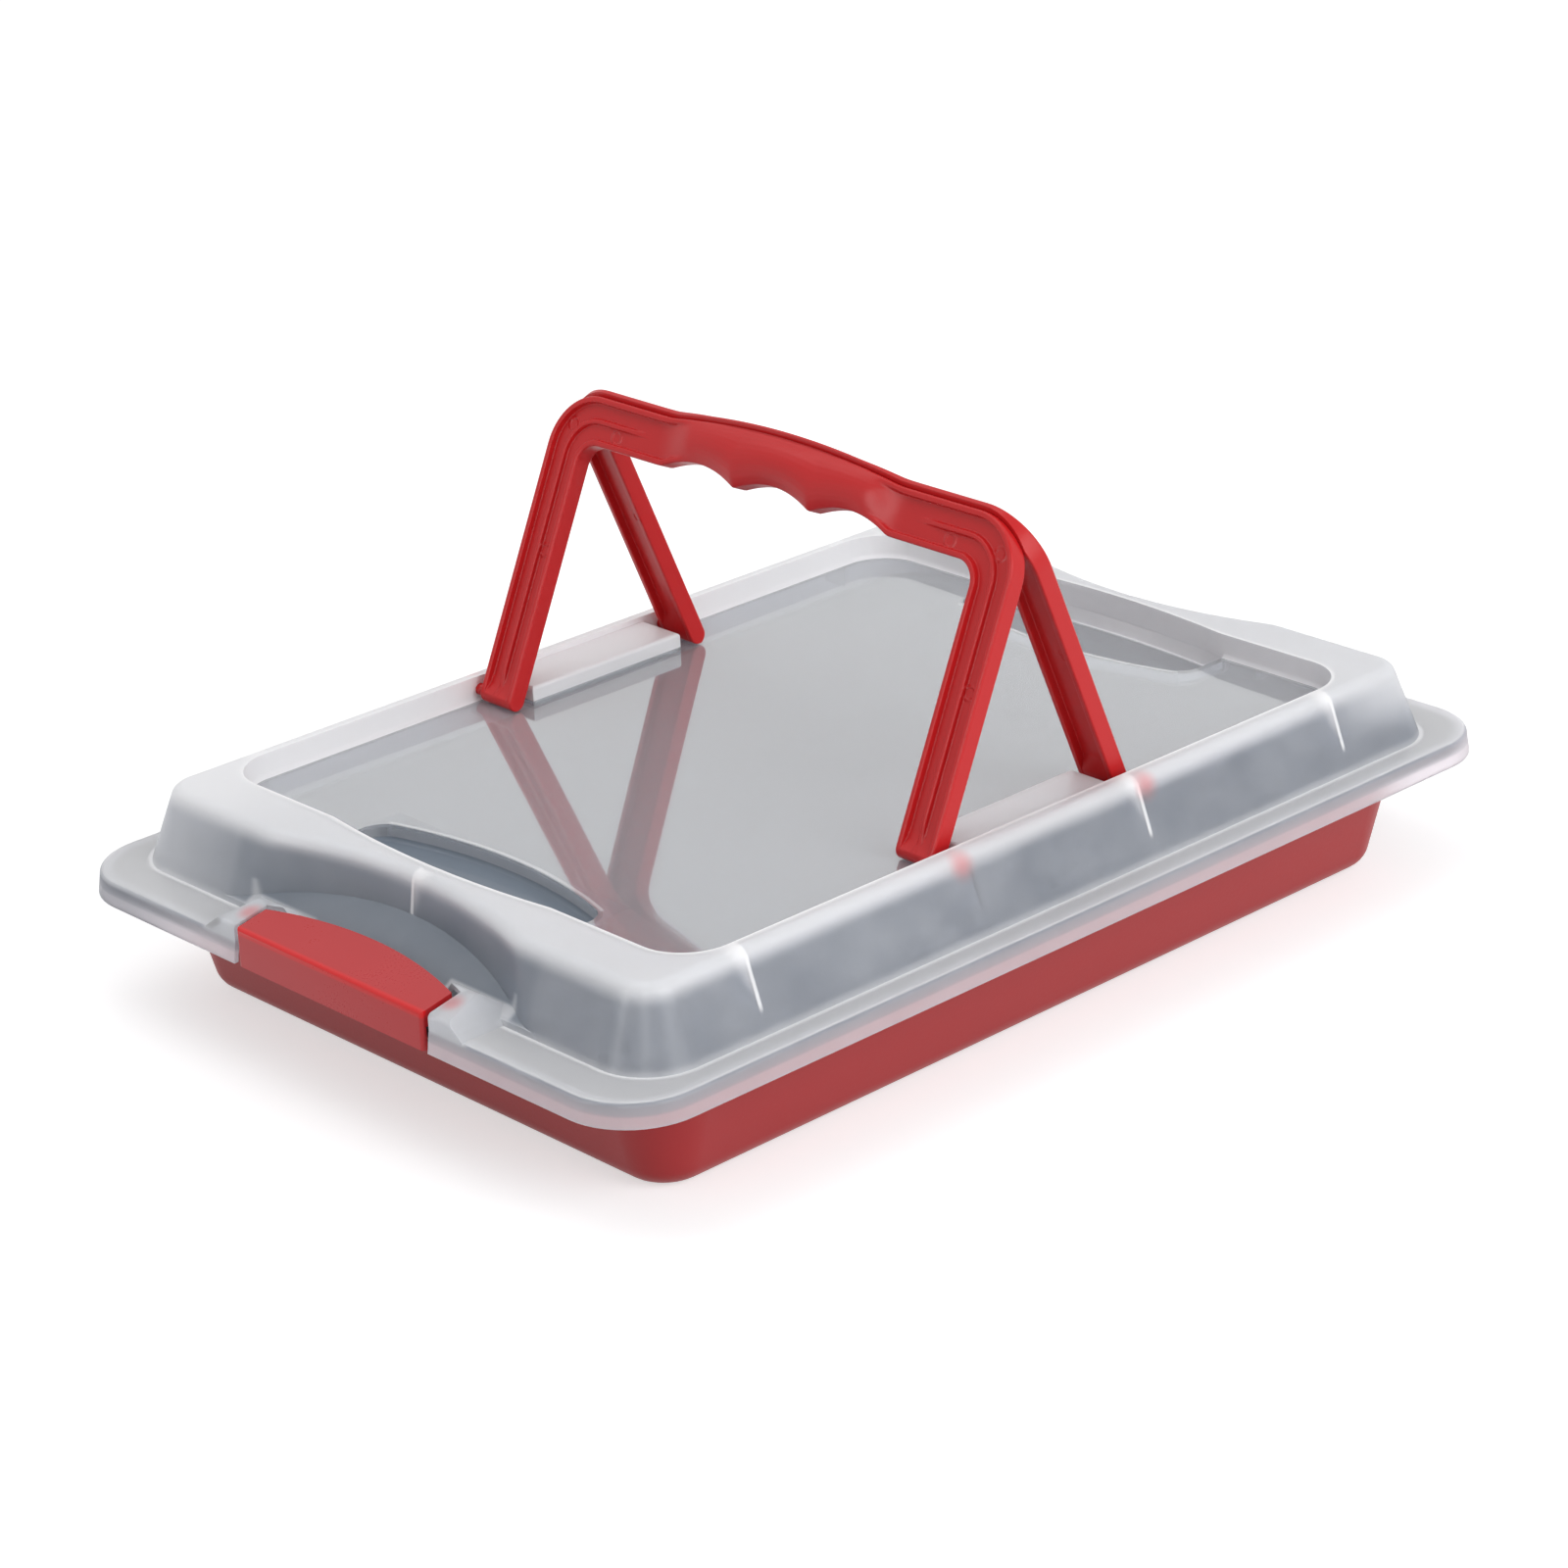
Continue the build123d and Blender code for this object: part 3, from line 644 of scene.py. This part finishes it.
class BAKINGPAN_OT_studio(bpy.types.Operator):
    """Make the floor, the soft lamps and the camera"""

    bl_idname = "baking_pan.studio"
    bl_label = "Studio"

    def execute(self, context):
        scene = context.scene
        studio = scene.baking_pan.studio
        self.floor(scene, studio)
        self.room(scene, studio)
        self.lamp(scene, "key lamp", KEY_PLACE, PAN_MIDDLE, KEY_SIZE, studio.key_watts)
        self.lamp(scene, "top lamp", TOP_PLACE, PAN_MIDDLE, TOP_SIZE, studio.key_watts * TOP_SHARE)
        for name, place in STRIP_PLACES:
            strip = self.lamp(scene, name, place, STRIP_TARGET, STRIP_WIDTH, studio.strip_watts)
            strip.data.shape = "RECTANGLE"
            strip.data.size_y = STRIP_LENGTH
            strip.visible_diffuse = False
            strip.visible_transmission = False
        self.camera(scene, studio)
        return {"FINISHED"}

    def floor(self, scene, studio):
        """Pale floor that shows as white to the camera and in reflections, and keeps a soft shadow."""
        half = studio.floor_size / 2
        plane = bpy.data.meshes.new("floor")
        plane.from_pydata([(-half, -half, 0), (half, -half, 0), (half, half, 0), (-half, half, 0)],
                          [], [(0, 1, 2, 3)])
        floor = bpy.data.objects.new("floor", plane)
        floor.location = (0, 0, -FLOOR_DROP)
        scene.collection.objects.link(floor)
        finish = Finish("studio floor")
        matt = finish.node("ShaderNodeBsdfDiffuse", None, {"Color": colour(studio.floor_tone)}).out()
        glow = finish.node("ShaderNodeEmission", None,
                           {"Color": WHITE, "Strength": finish.seen() * FLOOR_GLOW}).out()
        both = finish.node("ShaderNodeAddShader", None, {0: matt, 1: glow}).out()
        plane.materials.append(finish.done(both))

    def room(self, scene, studio):
        """Even light from all round, white where it is seen."""
        scene.world = bpy.data.worlds.new("white room")
        shading = Shading(scene.world)
        level = shading.seen() * (1 - studio.room_light) + studio.room_light
        glow = shading.node("ShaderNodeBackground", None, {"Color": WHITE, "Strength": level}).out()
        shading.node("ShaderNodeOutputWorld", None, {"Surface": glow})

    def lamp(self, scene, name, place, target, size, watts):
        """A square soft lamp that points at a target."""
        light = bpy.data.lights.new(name, "AREA")
        light.shape = "SQUARE"
        light.size = size
        light.energy = watts
        lamp = bpy.data.objects.new(name, light)
        lamp.location = place
        lamp.rotation_euler = (Vector(target) - Vector(place)).to_track_quat("-Z", "Y").to_euler()
        scene.collection.objects.link(lamp)
        return lamp

    def camera(self, scene, studio):
        """The photograph's viewpoint: left front corner, a little from above."""
        lens = bpy.data.cameras.new("camera")
        lens.sensor_fit = "HORIZONTAL"
        lens.sensor_width = CAMERA_SENSOR_MM
        lens.lens = studio.lens
        lens.shift_x, lens.shift_y = CAMERA_SHIFT
        lens.clip_start, lens.clip_end = CAMERA_CLIP
        camera = bpy.data.objects.new("camera", lens)
        turn = Matrix((CAMERA_RIGHT, CAMERA_UP, CAMERA_BACK)).transposed().to_4x4()
        camera.matrix_world = Matrix.Translation(Vector(CAMERA_PLACE)) @ turn
        scene.collection.objects.link(camera)
        scene.camera = camera


class BAKINGPAN_OT_pan(bpy.types.Operator):
    """Finish the pan: red enamel outside, dark coating inside and on the rim"""

    bl_idname = "baking_pan.pan"
    bl_label = "Pan"

    def execute(self, context):
        pan = context.scene.baking_pan.pan
        finish = Finish("pan steel")
        x, y, z = finish.xyz()
        nx, ny, nz = finish.facing()
        outward = nx * x + ny * y - nz * UNDERSIDE
        red = outward.ramp(*OUTSIDE_EDGE) * z.ramp(*RIM_EDGE)
        drift = finish.noise(scale=9.0, detail=3.0)
        grain = finish.noise(scale=900.0, detail=2.0, roughness=0.6)
        bloom = finish.noise(scale=16.0, detail=4.0, roughness=0.6)
        patches = finish.noise(scale=55.0, detail=4.0, roughness=0.65)
        scuffs = patches.ramp(*SCUFF_PATCHES) * z.ramp(*SCUFF_HEIGHT) * 0.35
        dusty = finish.blend(drift * 0.5, colour(pan.enamel), colour(pan.enamel, level=1.12, lift=0.004))
        worn = finish.blend(scuffs, dusty, SCUFF_TONE)
        dark = finish.blend(bloom, colour(pan.coating), colour(pan.coating, level=1.7))
        surface = finish.shader(Base_Color=finish.blend(red, dark, worn),
                                Roughness=0.34 + grain * 0.10 + (1 - red) * 0.06 + drift * 0.05,
                                Normal=finish.bump(grain, strength=0.12, distance=0.0002),
                                IOR=PLASTIC_IOR, Specular_IOR_Level=0.26)
        dress("pan", finish.done(surface))
        return {"FINISHED"}


class BAKINGPAN_OT_lid(bpy.types.Operator):
    """Finish the lid: frosted walls, polished panel, moulding marks, painted shade and painted highlights"""

    bl_idname = "baking_pan.lid"
    bl_label = "Lid"

    def execute(self, context):
        lid = context.scene.baking_pan.lid
        finish = Finish("frosted lid plastic")
        masks = self.zones(finish)
        self.marks(finish, masks)
        # milkier plastic: partly the plastic's own milkiness and partly painted light
        milk_and_painted_light = weighted(masks, MILK_AND_PAINTED_LIGHT).clamped()
        # painted shade: the share of the dark layer in each zone
        painted_shade = (weighted(masks, PAINTED_SHADE) * (1 - masks["webs"])).clamped()
        panel = masks["panel"]
        off_panel = 1 - panel
        waves = finish.noise(scale=9.0, detail=0.0, roughness=0.4)
        frost = finish.noise(scale=1500.0, detail=2.0, roughness=0.6)
        plastic = finish.blend(masks["wall"], colour(lid.body_tone), colour(lid.wall_tone))
        plastic = finish.blend(masks["skirt"], plastic, colour(lid.skirt_tone))
        plastic = finish.blend(masks["pins"] * 0.6, plastic, PIN_TONE)
        thick_plastic = finish.blend(masks["pins"], colour(lid.milk_tone), MILKY_PIN_TONE)
        rough = panel * (lid.panel_gloss - lid.frost) + lid.frost + (frost - 0.5) * 0.10 * off_panel
        fine = finish.bump(frost * off_panel, strength=0.10, distance=0.0002)
        relief = finish.bump(waves + masks["clouds"] * 0.10 * off_panel, strength=0.30, distance=0.0016,
                             normal=fine)
        clear = finish.shader(Base_Color=plastic, Roughness=rough, IOR=PLASTIC_IOR,
                              Transmission_Weight=lid.clearness, Coat_Weight=panel, Coat_Roughness=0.02,
                              Coat_IOR=PLASTIC_IOR, Normal=relief)
        milky = finish.shader(Base_Color=thick_plastic, Roughness=rough, IOR=PLASTIC_IOR,
                              Transmission_Weight=0.10, Normal=relief)
        # painted shade: dark plastic standing in for the dark pan seen through the lid and for the shade in
        # its hollows
        painted_shade_layer = finish.shader(Base_Color=colour(lid.shade_tone), Roughness=0.5, IOR=1.4,
                              Specular_IOR_Level=0.2, Normal=relief)
        # clear plastic, then milkier plastic (partly painted light), then the painted shade layer
        surface = finish.layered(painted_shade, finish.layered(milk_and_painted_light, clear, milky), painted_shade_layer)
        dress("lid", finish.done(surface))
        return {"FINISHED"}

    def zones(self, finish):
        """Masks of the lid's parts by name, from the place and the slope of the surface."""
        at = LID_EDGES
        x, y, z = finish.xyz()
        rise = finish.facing()[2]
        slope = abs(rise)
        along = abs(x)
        across = abs(y)
        bow = (1 - y * y * (1 / BOW_HALF_WIDTH ** 2)).most(0.0) * BOW_DEPTH
        edge = finish.outline(along - bow, across, *PANEL_OUTLINE)
        low = 1 - z.ramp(*at["low part"])
        # far side: here the ridge and walls are paler (painted light) and the skirt darker (painted shade)
        far_side = y.ramp(*at["far side"])
        panel = edge.ramp(*at["panel outline"]) * z.ramp(*at["panel top"])
        well = (z.ramp(*at["well top"]) * along.ramp(*at["well start"]) * along.ramp(*at["well end"])
                * across.ramp(*at["well side"]) * rise.ramp(*at["well floor slope"]))
        # the rear finger well, made paler as painted light
        rear_well = (z.ramp(*at["rear well top"]) * x.ramp(*at["rear well start"])
                     * along.ramp(*at["rear well end"]) * across.ramp(*at["rear well side"]))
        skirt = z.ramp(*at["skirt top"])
        flange = low * slope.ramp(*at["flange slope"]) * (1 - skirt)
        ridge_foot = edge.ramp(*at["ridge outline"]) * z.ramp(*at["ridge foot"])
        ridge = z.ramp(*at["ridge height"]).most(ridge_foot) * (1 - panel)
        ear = (along.ramp(*at["ear start"]) * across.ramp(*at["ear inner side"])
               * across.ramp(*at["ear outer side"]) * z.ramp(*at["ear top"]) * (1 - flange) * (1 - skirt))
        recess = (along.ramp(*at["recess start"]) * across.ramp(*at["recess side"]) * (1 - ear) * (1 - low)
                  * (1 - ridge))
        wall = (1 - panel) * (1 - skirt) * (1 - flange) * (1 - ridge) * (1 - ear)
        foot = finish.outline(along, across, *FOOT_OUTLINE)
        to_axis = along - WELL_CENTRE
        from_well = abs((to_axis * to_axis + y * y).root() - WELL_RADIUS)
        return {
            "panel": panel,
            "well": well,
            # painted shade: only the front finger well is darkened
            "front well": well * x.ramp(*at["front half"]),
            "rear well": wall * rear_well,
            "skirt": skirt,
            "skirt shade": skirt * z.ramp(*at["skirt shade"]),
            "far skirt": skirt * far_side,
            "flange": flange,
            "ridge": ridge,
            "far ridge": ridge * far_side,
            "ear": ear,
            "recess floor": (recess * slope.ramp(*at["recess floor tilt"])
                             * slope.ramp(*at["recess floor level"])),
            "recess wall": recess * slope.ramp(*at["recess wall tilt"]),
            "wall": wall,
            "far wall": wall * far_side,
            # painted light: the rear corner of the wall, made paler
            "rear corner": wall * x.ramp(*at["rear corner start"]) * z.ramp(*at["rear corner height"]),
            # painted highlights: thin bright lines along the wall's foot, the panel's rim and the well's edge
            "foot line": (abs(foot - FOOT_HIGHLIGHT_OFFSET).ramp(*at["foot line"]) * z.ramp(*at["foot line top"])
                          * (1 - ear) * (1 - skirt)),
            "rim line": abs(edge - RIM_HIGHLIGHT_OFFSET).ramp(*at["rim line"]) * z.ramp(*at["rim line height"]),
            "well line": from_well.ramp(*at["well line"]) * across.ramp(*at["well line side"]) * panel,
        }

    def marks(self, finish, masks):
        """Adds what shines through or lies on the lid: webs, pins, clouds and smudges."""
        x, y, z = finish.xyz()
        along = abs(x)
        across = abs(y)
        side_webs = highest([self.web(x, z, spot) for spot in WEB_PLACES])
        side_webs = side_webs * across.ramp(*LID_EDGES["side web start"])
        end_webs = self.web(y, z, 0.0) * along.ramp(*LID_EDGES["end web start"]) * (1 - masks["recess floor"])
        masks["webs"] = side_webs.most(end_webs)
        masks["pins"] = highest([finish.near((along, across, z), *pin) for pin in (HANDLE_PIN, CLIP_PIN)])
        smudge = finish.noise(scale=16.0, detail=3.0, roughness=0.55) - 0.5
        masks["clouds"] = finish.noise(scale=38.0, detail=4.0, roughness=0.6) - 0.5
        masks["wall clouds"] = masks["clouds"] * masks["wall"]
        masks["smudges"] = smudge * (1 - masks["panel"])
        masks["bare wall"] = masks["wall"] * (1 - masks["pins"])
        masks["smudged wall"] = smudge * masks["bare wall"]

    def web(self, along, z, spot):
        """A bright line at one spot down to the web's lower edge, with a three-cornered flare on one side."""
        beyond = spot - along
        line = abs(beyond).ramp(*LID_EDGES["web line"]) * z.ramp(*LID_EDGES["web line foot"])
        reach = (z - WEB_FOOT) * WEB_SPREAD
        flare = ((beyond / reach.most(WEB_LEAST)).ramp(1.0, 0.0) * beyond.ramp(*LID_EDGES["web flare side"])
                 * z.ramp(*LID_EDGES["web flare height"]))
        return line.most(flare * WEB_FLARE)


def red_finish(name, plastic, rough=0.24, shine=0.30, grit=0.08, marks=None, highlight_edge=None):
    """Moulded red plastic: soft colour drift and fine grain, with round marks or a painted highlight line
    along an edge if given.
    """
    finish = Finish(name)
    drift = finish.noise(scale=22.0, detail=3.0, roughness=0.55)
    grain = finish.noise(scale=1400.0, detail=2.0, roughness=0.6)
    base = finish.blend(drift * 0.6, colour(plastic), colour(plastic, level=0.88))
    # painted highlight: a brighter, redder line along the clip's top front edge
    if highlight_edge:
        x, y, z = finish.xyz()
        off_x = abs(x) - highlight_edge[0]
        off_z = z - highlight_edge[1]
        line = (off_x * off_x + off_z * off_z).root().ramp(*HIGHLIGHT_EDGE_WIDTH)
        base = finish.blend(line, base, (plastic[0] * 1.3, plastic[1] * 0.4, plastic[2] * 0.4, 1))
    relief = finish.bump(grain, strength=grit, distance=0.00015)
    if marks:
        outer, inner = (highest([finish.near(finish.xyz(), spot, size, core=0.7) for spot in marks])
                        for size in (MARK_OUTER, MARK_INNER))
        relief = finish.bump(outer - inner, strength=0.6, distance=0.0004, normal=relief)
    surface = finish.shader(Base_Color=base, Roughness=rough + grain * grit + drift * 0.06, Normal=relief,
                            IOR=PLASTIC_IOR, Specular_IOR_Level=shine)
    return finish.done(surface)


def handle_place(shape, end, across, up, out):
    """Points of a handle from its own plane: across its width, up from the pins, out from its face.

    The plane leans towards the other handle, and both then turn by the sway about their pins.
    """
    x = end * (out * np.cos(shape.lean) - up * np.sin(shape.lean))
    z = up * np.cos(shape.lean) + out * np.sin(shape.lean)
    turned_x = x * np.cos(shape.sway) + z * np.sin(shape.sway)
    turned_z = z * np.cos(shape.sway) - x * np.sin(shape.sway)
    return np.stack([end * shape.spacing + turned_x, across, shape.pin_height + turned_z], axis=-1)


def handle_edge(half_width, height, corner, foot, bar):
    """One edge of a handle from a foot to its middle: foot, straight leg, quarter circle and bar."""
    leg = np.linspace(0, height - corner, LEG_STATIONS + 1)[:-1]
    turn = np.linspace(0, np.pi / 2, BEND_STATIONS)
    bend_y = half_width - corner + corner * np.cos(turn)
    bend_up = height - corner + corner * np.sin(turn)
    return np.concatenate([
        np.stack([np.full(FOOT_STATIONS, half_width), foot], axis=1),
        np.stack([np.full(LEG_STATIONS, half_width), leg], axis=1),
        np.stack([bend_y, bend_up], axis=1),
        bar,
    ])


def handle_path(shape):
    """Outer and inner edge of half a handle, and how full and how thick each station is.

    The foot is rounded by half the thickness times the cosine of a turn. The bar's top edge is crowned,
    1 - (y / reach)^2, and its lower edge carries the finger grooves, 1 - (y / half pitch)^2 about the nearest
    groove's middle. Both stop softly at zero, as (v + sqrt(v^2 + softness)) / 2.
    """
    turn = np.linspace(0, np.pi / 2, FOOT_STATIONS + 1)[:-1]
    foot = -shape.thickness / 2 * np.cos(turn)
    inner_width = shape.half_width - shape.leg
    inner_height = shape.height - shape.bar
    inward = np.linspace(0, 1, BAR_STATIONS + 1)[1:]
    y_outer = (shape.half_width - shape.outer_corner) * (1 - inward)
    y_inner = (inner_width - shape.inner_corner) * (1 - inward)
    arch = 1 - (y_outer / (1.5 * shape.groove_pitch)) ** 2
    crown = shape.crown * (arch + np.sqrt(arch ** 2 + CROWN_SOFTNESS)) / 2
    nearest = np.clip(np.round(y_inner / shape.groove_pitch), -1, 1) * shape.groove_pitch
    hollow = 1 - ((y_inner - nearest) / (shape.groove_pitch / 2)) ** 2
    groove = shape.groove_depth * (hollow + np.sqrt(hollow ** 2 + GROOVE_SOFTNESS)) / 2
    outer = handle_edge(shape.half_width, shape.height, shape.outer_corner, foot,
                        np.stack([y_outer, shape.height + crown], axis=1))
    inner = handle_edge(inner_width, inner_height, shape.inner_corner, foot,
                        np.stack([y_inner, inner_height + groove], axis=1))
    fill = smooth(-outer[:, 0], -GRIP_START, -GRIP_FULL) * (outer[:, 1] > shape.height - 1e-6)
    thick = np.ones(len(outer))
    thick[:FOOT_STATIONS] = np.maximum(np.sin(turn), FOOT_LEAST)
    return outer, inner, fill, thick


def leg_face(shape, wide, y, up):
    """Corners of the leg's face across its width: lips at the edges, a sunk floor, a low middle rib."""
    half = shape.thickness / 2 * np.ones(len(y))
    inset = wide - shape.lip
    rib = shape.rib / 2 * np.ones(len(y))
    floor = half - shape.recess * smooth(up, *FACE_START)
    rib_rise = RIB_RISE * smooth(up, *RIB_START) * (1 - smooth(-y, *RIB_END))
    rib_top = np.maximum(half - shape.recess + shape.recess * rib_rise, floor)
    w = np.stack([-wide, -inset, -inset + LIP_FLANK, -wide * 0.5, -rib * RIB_FOOT, -rib * RIB_TOP,
                  rib * RIB_TOP, rib * RIB_FOOT, wide * 0.5, inset - LIP_FLANK, inset, wide], axis=1)
    n = np.stack([half, half, floor, floor, floor, rib_top,
                  rib_top, floor, floor, floor, half, half], axis=1)
    return w, n


def grip_face(shape, wide, y):
    """Corners of the grip's face: bulge times (1 - spot^2) across it and (1 - (y / half)^2)^0.9 along it."""
    spots = np.array(GRIP_SPOTS)[None, :]
    swell = np.clip(1 - (y / GRIP_HALF) ** 2, 0, 1) ** GRIP_POWER
    return wide[:, None] * spots, shape.thickness / 2 + shape.bulge * swell[:, None] * (1 - spots ** 2)


def back_face(shape, wide, up):
    """Corners of the back: flat, with a channel in each leg that ends short of the foot and the bar."""
    half = shape.thickness / 2 * np.ones(len(up))
    bar_start = shape.height - shape.bar
    channel_end = smooth(up, bar_start + CHANNEL_END[0], bar_start + CHANNEL_END[1])
    channel = CHANNEL_DEPTH * smooth(up, *CHANNEL_START) * (1 - channel_end)
    inset = wide - shape.lip
    w = np.stack([wide, inset, inset - LIP_FLANK, -inset + LIP_FLANK, -inset, -wide], axis=1)
    n = np.stack([-half, -half, -half + channel, -half + channel, -half, -half], axis=1)
    return w, n


def handle_points(shape, end):
    """The handle's surface: a leg's section with lips, rib and channel turns into the full grip.

    Each station is one loop of corners, laid between the inner and outer edge, with its corners rounded.
    The loops run from one foot over the bar to the other foot.
    """
    outer, inner, fill, thick = handle_path(shape)
    middle = (outer + inner) / 2
    wide = np.linalg.norm(outer - inner, axis=1) / 2
    leg_w, leg_n = leg_face(shape, wide, middle[:, 0], middle[:, 1])
    grip_w, grip_n = grip_face(shape, wide, middle[:, 0])
    back_w, back_n = back_face(shape, wide, middle[:, 1])
    grip = fill[:, None]
    w = np.concatenate([leg_w * (1 - grip) + grip_w * grip, back_w], axis=1)
    n = np.concatenate([leg_n * (1 - grip) + grip_n * grip, back_n], axis=1) * thick[:, None]
    face_corners = leg_w.shape[1]
    reach = np.full(w.shape, RELIEF_ROUND)
    reach[:, [0, face_corners - 1]] = FACE_ROUND + GRIP_ROUND * grip
    reach[:, [face_corners, -1]] = BACK_ROUND
    loops = rounded_loops(np.stack([w, n], axis=2), reach)
    across = (outer - inner) / 2 / wide[:, None]
    side = middle[:, None, :] + loops[:, :, 0:1] * across[:, None, :]
    y = side[:, :, 0]
    up = side[:, :, 1]
    # nothing passes the plane in which the two handles meet
    cut = (up * np.sin(shape.lean) - (shape.spacing - MEETING_GAP)) / np.cos(shape.lean)
    is_face = np.arange(loops.shape[1]) < face_corners * CURVE_POINTS
    skin = LEAST_SKIN * (is_face & (up > shape.height - shape.bar))
    out = np.where(thick[:, None] < 1, loops[:, :, 1], np.maximum(loops[:, :, 1], cut + skin))
    whole_y = np.concatenate([y, -y[-2::-1]])
    whole_up = np.concatenate([up, up[-2::-1]])
    whole_out = np.concatenate([out, out[-2::-1]])
    return handle_place(shape, end, whole_y, whole_up, whole_out)


def pin_points(shape, end, side):
    """A pivot pin: circles of the pin's radius about its axis, drawn in over the last 0.8 mm."""
    radius = shape.pin_radius * np.array(PIN_SHARE)[:, None]
    turn = np.linspace(0, 2 * np.pi, PIN_SIDES + 1)[None, :-1]
    up = radius * np.cos(turn)
    out = radius * np.sin(turn)
    across = side * np.array(PIN_ACROSS)[:, None] * np.ones(turn.shape)
    return handle_place(shape, end, across, up, out)


class BAKINGPAN_OT_handles(bpy.types.Operator):
    """Build the two bail handles with their grips, ribs and pins"""

    bl_idname = "baking_pan.handles"
    bl_label = "Handles"

    def execute(self, context):
        settings = context.scene.baking_pan
        shape = settings.handle
        spots = np.array(MARK_SPOTS)
        for end, node in ((-1, "front_handle"), (1, "rear_handle")):
            marks = handle_place(shape, end, spots[:, 0], spots[:, 1], shape.thickness / 2 - shape.recess)
            material = red_finish(node + " plastic", settings.red.plastic, marks=marks.tolist())
            points = []
            faces = []
            for part in (handle_points(shape, end), pin_points(shape, end, -1), pin_points(shape, end, 1)):
                faces += tube_faces(part.shape[0], part.shape[1], sum(len(p) for p in points))
                points.append(part.reshape(-1, 3))
            piece = new_piece(node + "_skin", np.concatenate(points), faces, material, node)
            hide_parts(node)
        return {"FINISHED"}


class BAKINGPAN_OT_clips(bpy.types.Operator):
    """Finish the two end clips"""

    bl_idname = "baking_pan.clips"
    bl_label = "Clips"

    def execute(self, context):
        red = context.scene.baking_pan.red
        material = red_finish("clip plastic", red.clip_plastic, shine=0.36, grit=0.03, highlight_edge=CLIP_HIGHLIGHT_EDGE)
        for name in ("front_clip", "rear_clip"):
            dress(name, material)
        return {"FINISHED"}


class BAKINGPAN_PT_sidebar(bpy.types.Panel):
    """Settings and steps of the baking pan"""

    bl_label = "Baking Pan"
    bl_idname = "BAKINGPAN_PT_sidebar"
    bl_space_type = "VIEW_3D"
    bl_region_type = "UI"
    bl_category = "Baking Pan"

    def draw(self, context):
        settings = context.scene.baking_pan
        for group, operators in (
            (settings.studio, ("baking_pan.studio",)),
            (settings.pan, ("baking_pan.pan",)),
            (settings.lid, ("baking_pan.lid",)),
            (settings.handle, ("baking_pan.handles",)),
            (settings.red, ("baking_pan.handles", "baking_pan.clips")),
        ):
            box = self.layout.box()
            for field in type(group).__annotations__:
                box.prop(group, field)
            for operator in operators:
                box.operator(operator)


classes = (
    StudioSettings,
    PanSettings,
    LidSettings,
    RedSettings,
    HandleSettings,
    BakingPanSettings,
    BAKINGPAN_OT_studio,
    BAKINGPAN_OT_pan,
    BAKINGPAN_OT_lid,
    BAKINGPAN_OT_handles,
    BAKINGPAN_OT_clips,
    BAKINGPAN_PT_sidebar,
)


def register():
    for item in classes:
        bpy.utils.register_class(item)
    bpy.types.Scene.baking_pan = bpy.props.PointerProperty(type=BakingPanSettings)


def unregister():
    del bpy.types.Scene.baking_pan
    for item in reversed(classes):
        bpy.utils.unregister_class(item)


def main():
    register()
    bpy.context.scene.view_settings.view_transform = "Standard"
    bpy.ops.baking_pan.studio()
    bpy.ops.baking_pan.pan()
    bpy.ops.baking_pan.lid()
    bpy.ops.baking_pan.handles()
    bpy.ops.baking_pan.clips()


if __name__ == "__main__":
    main()
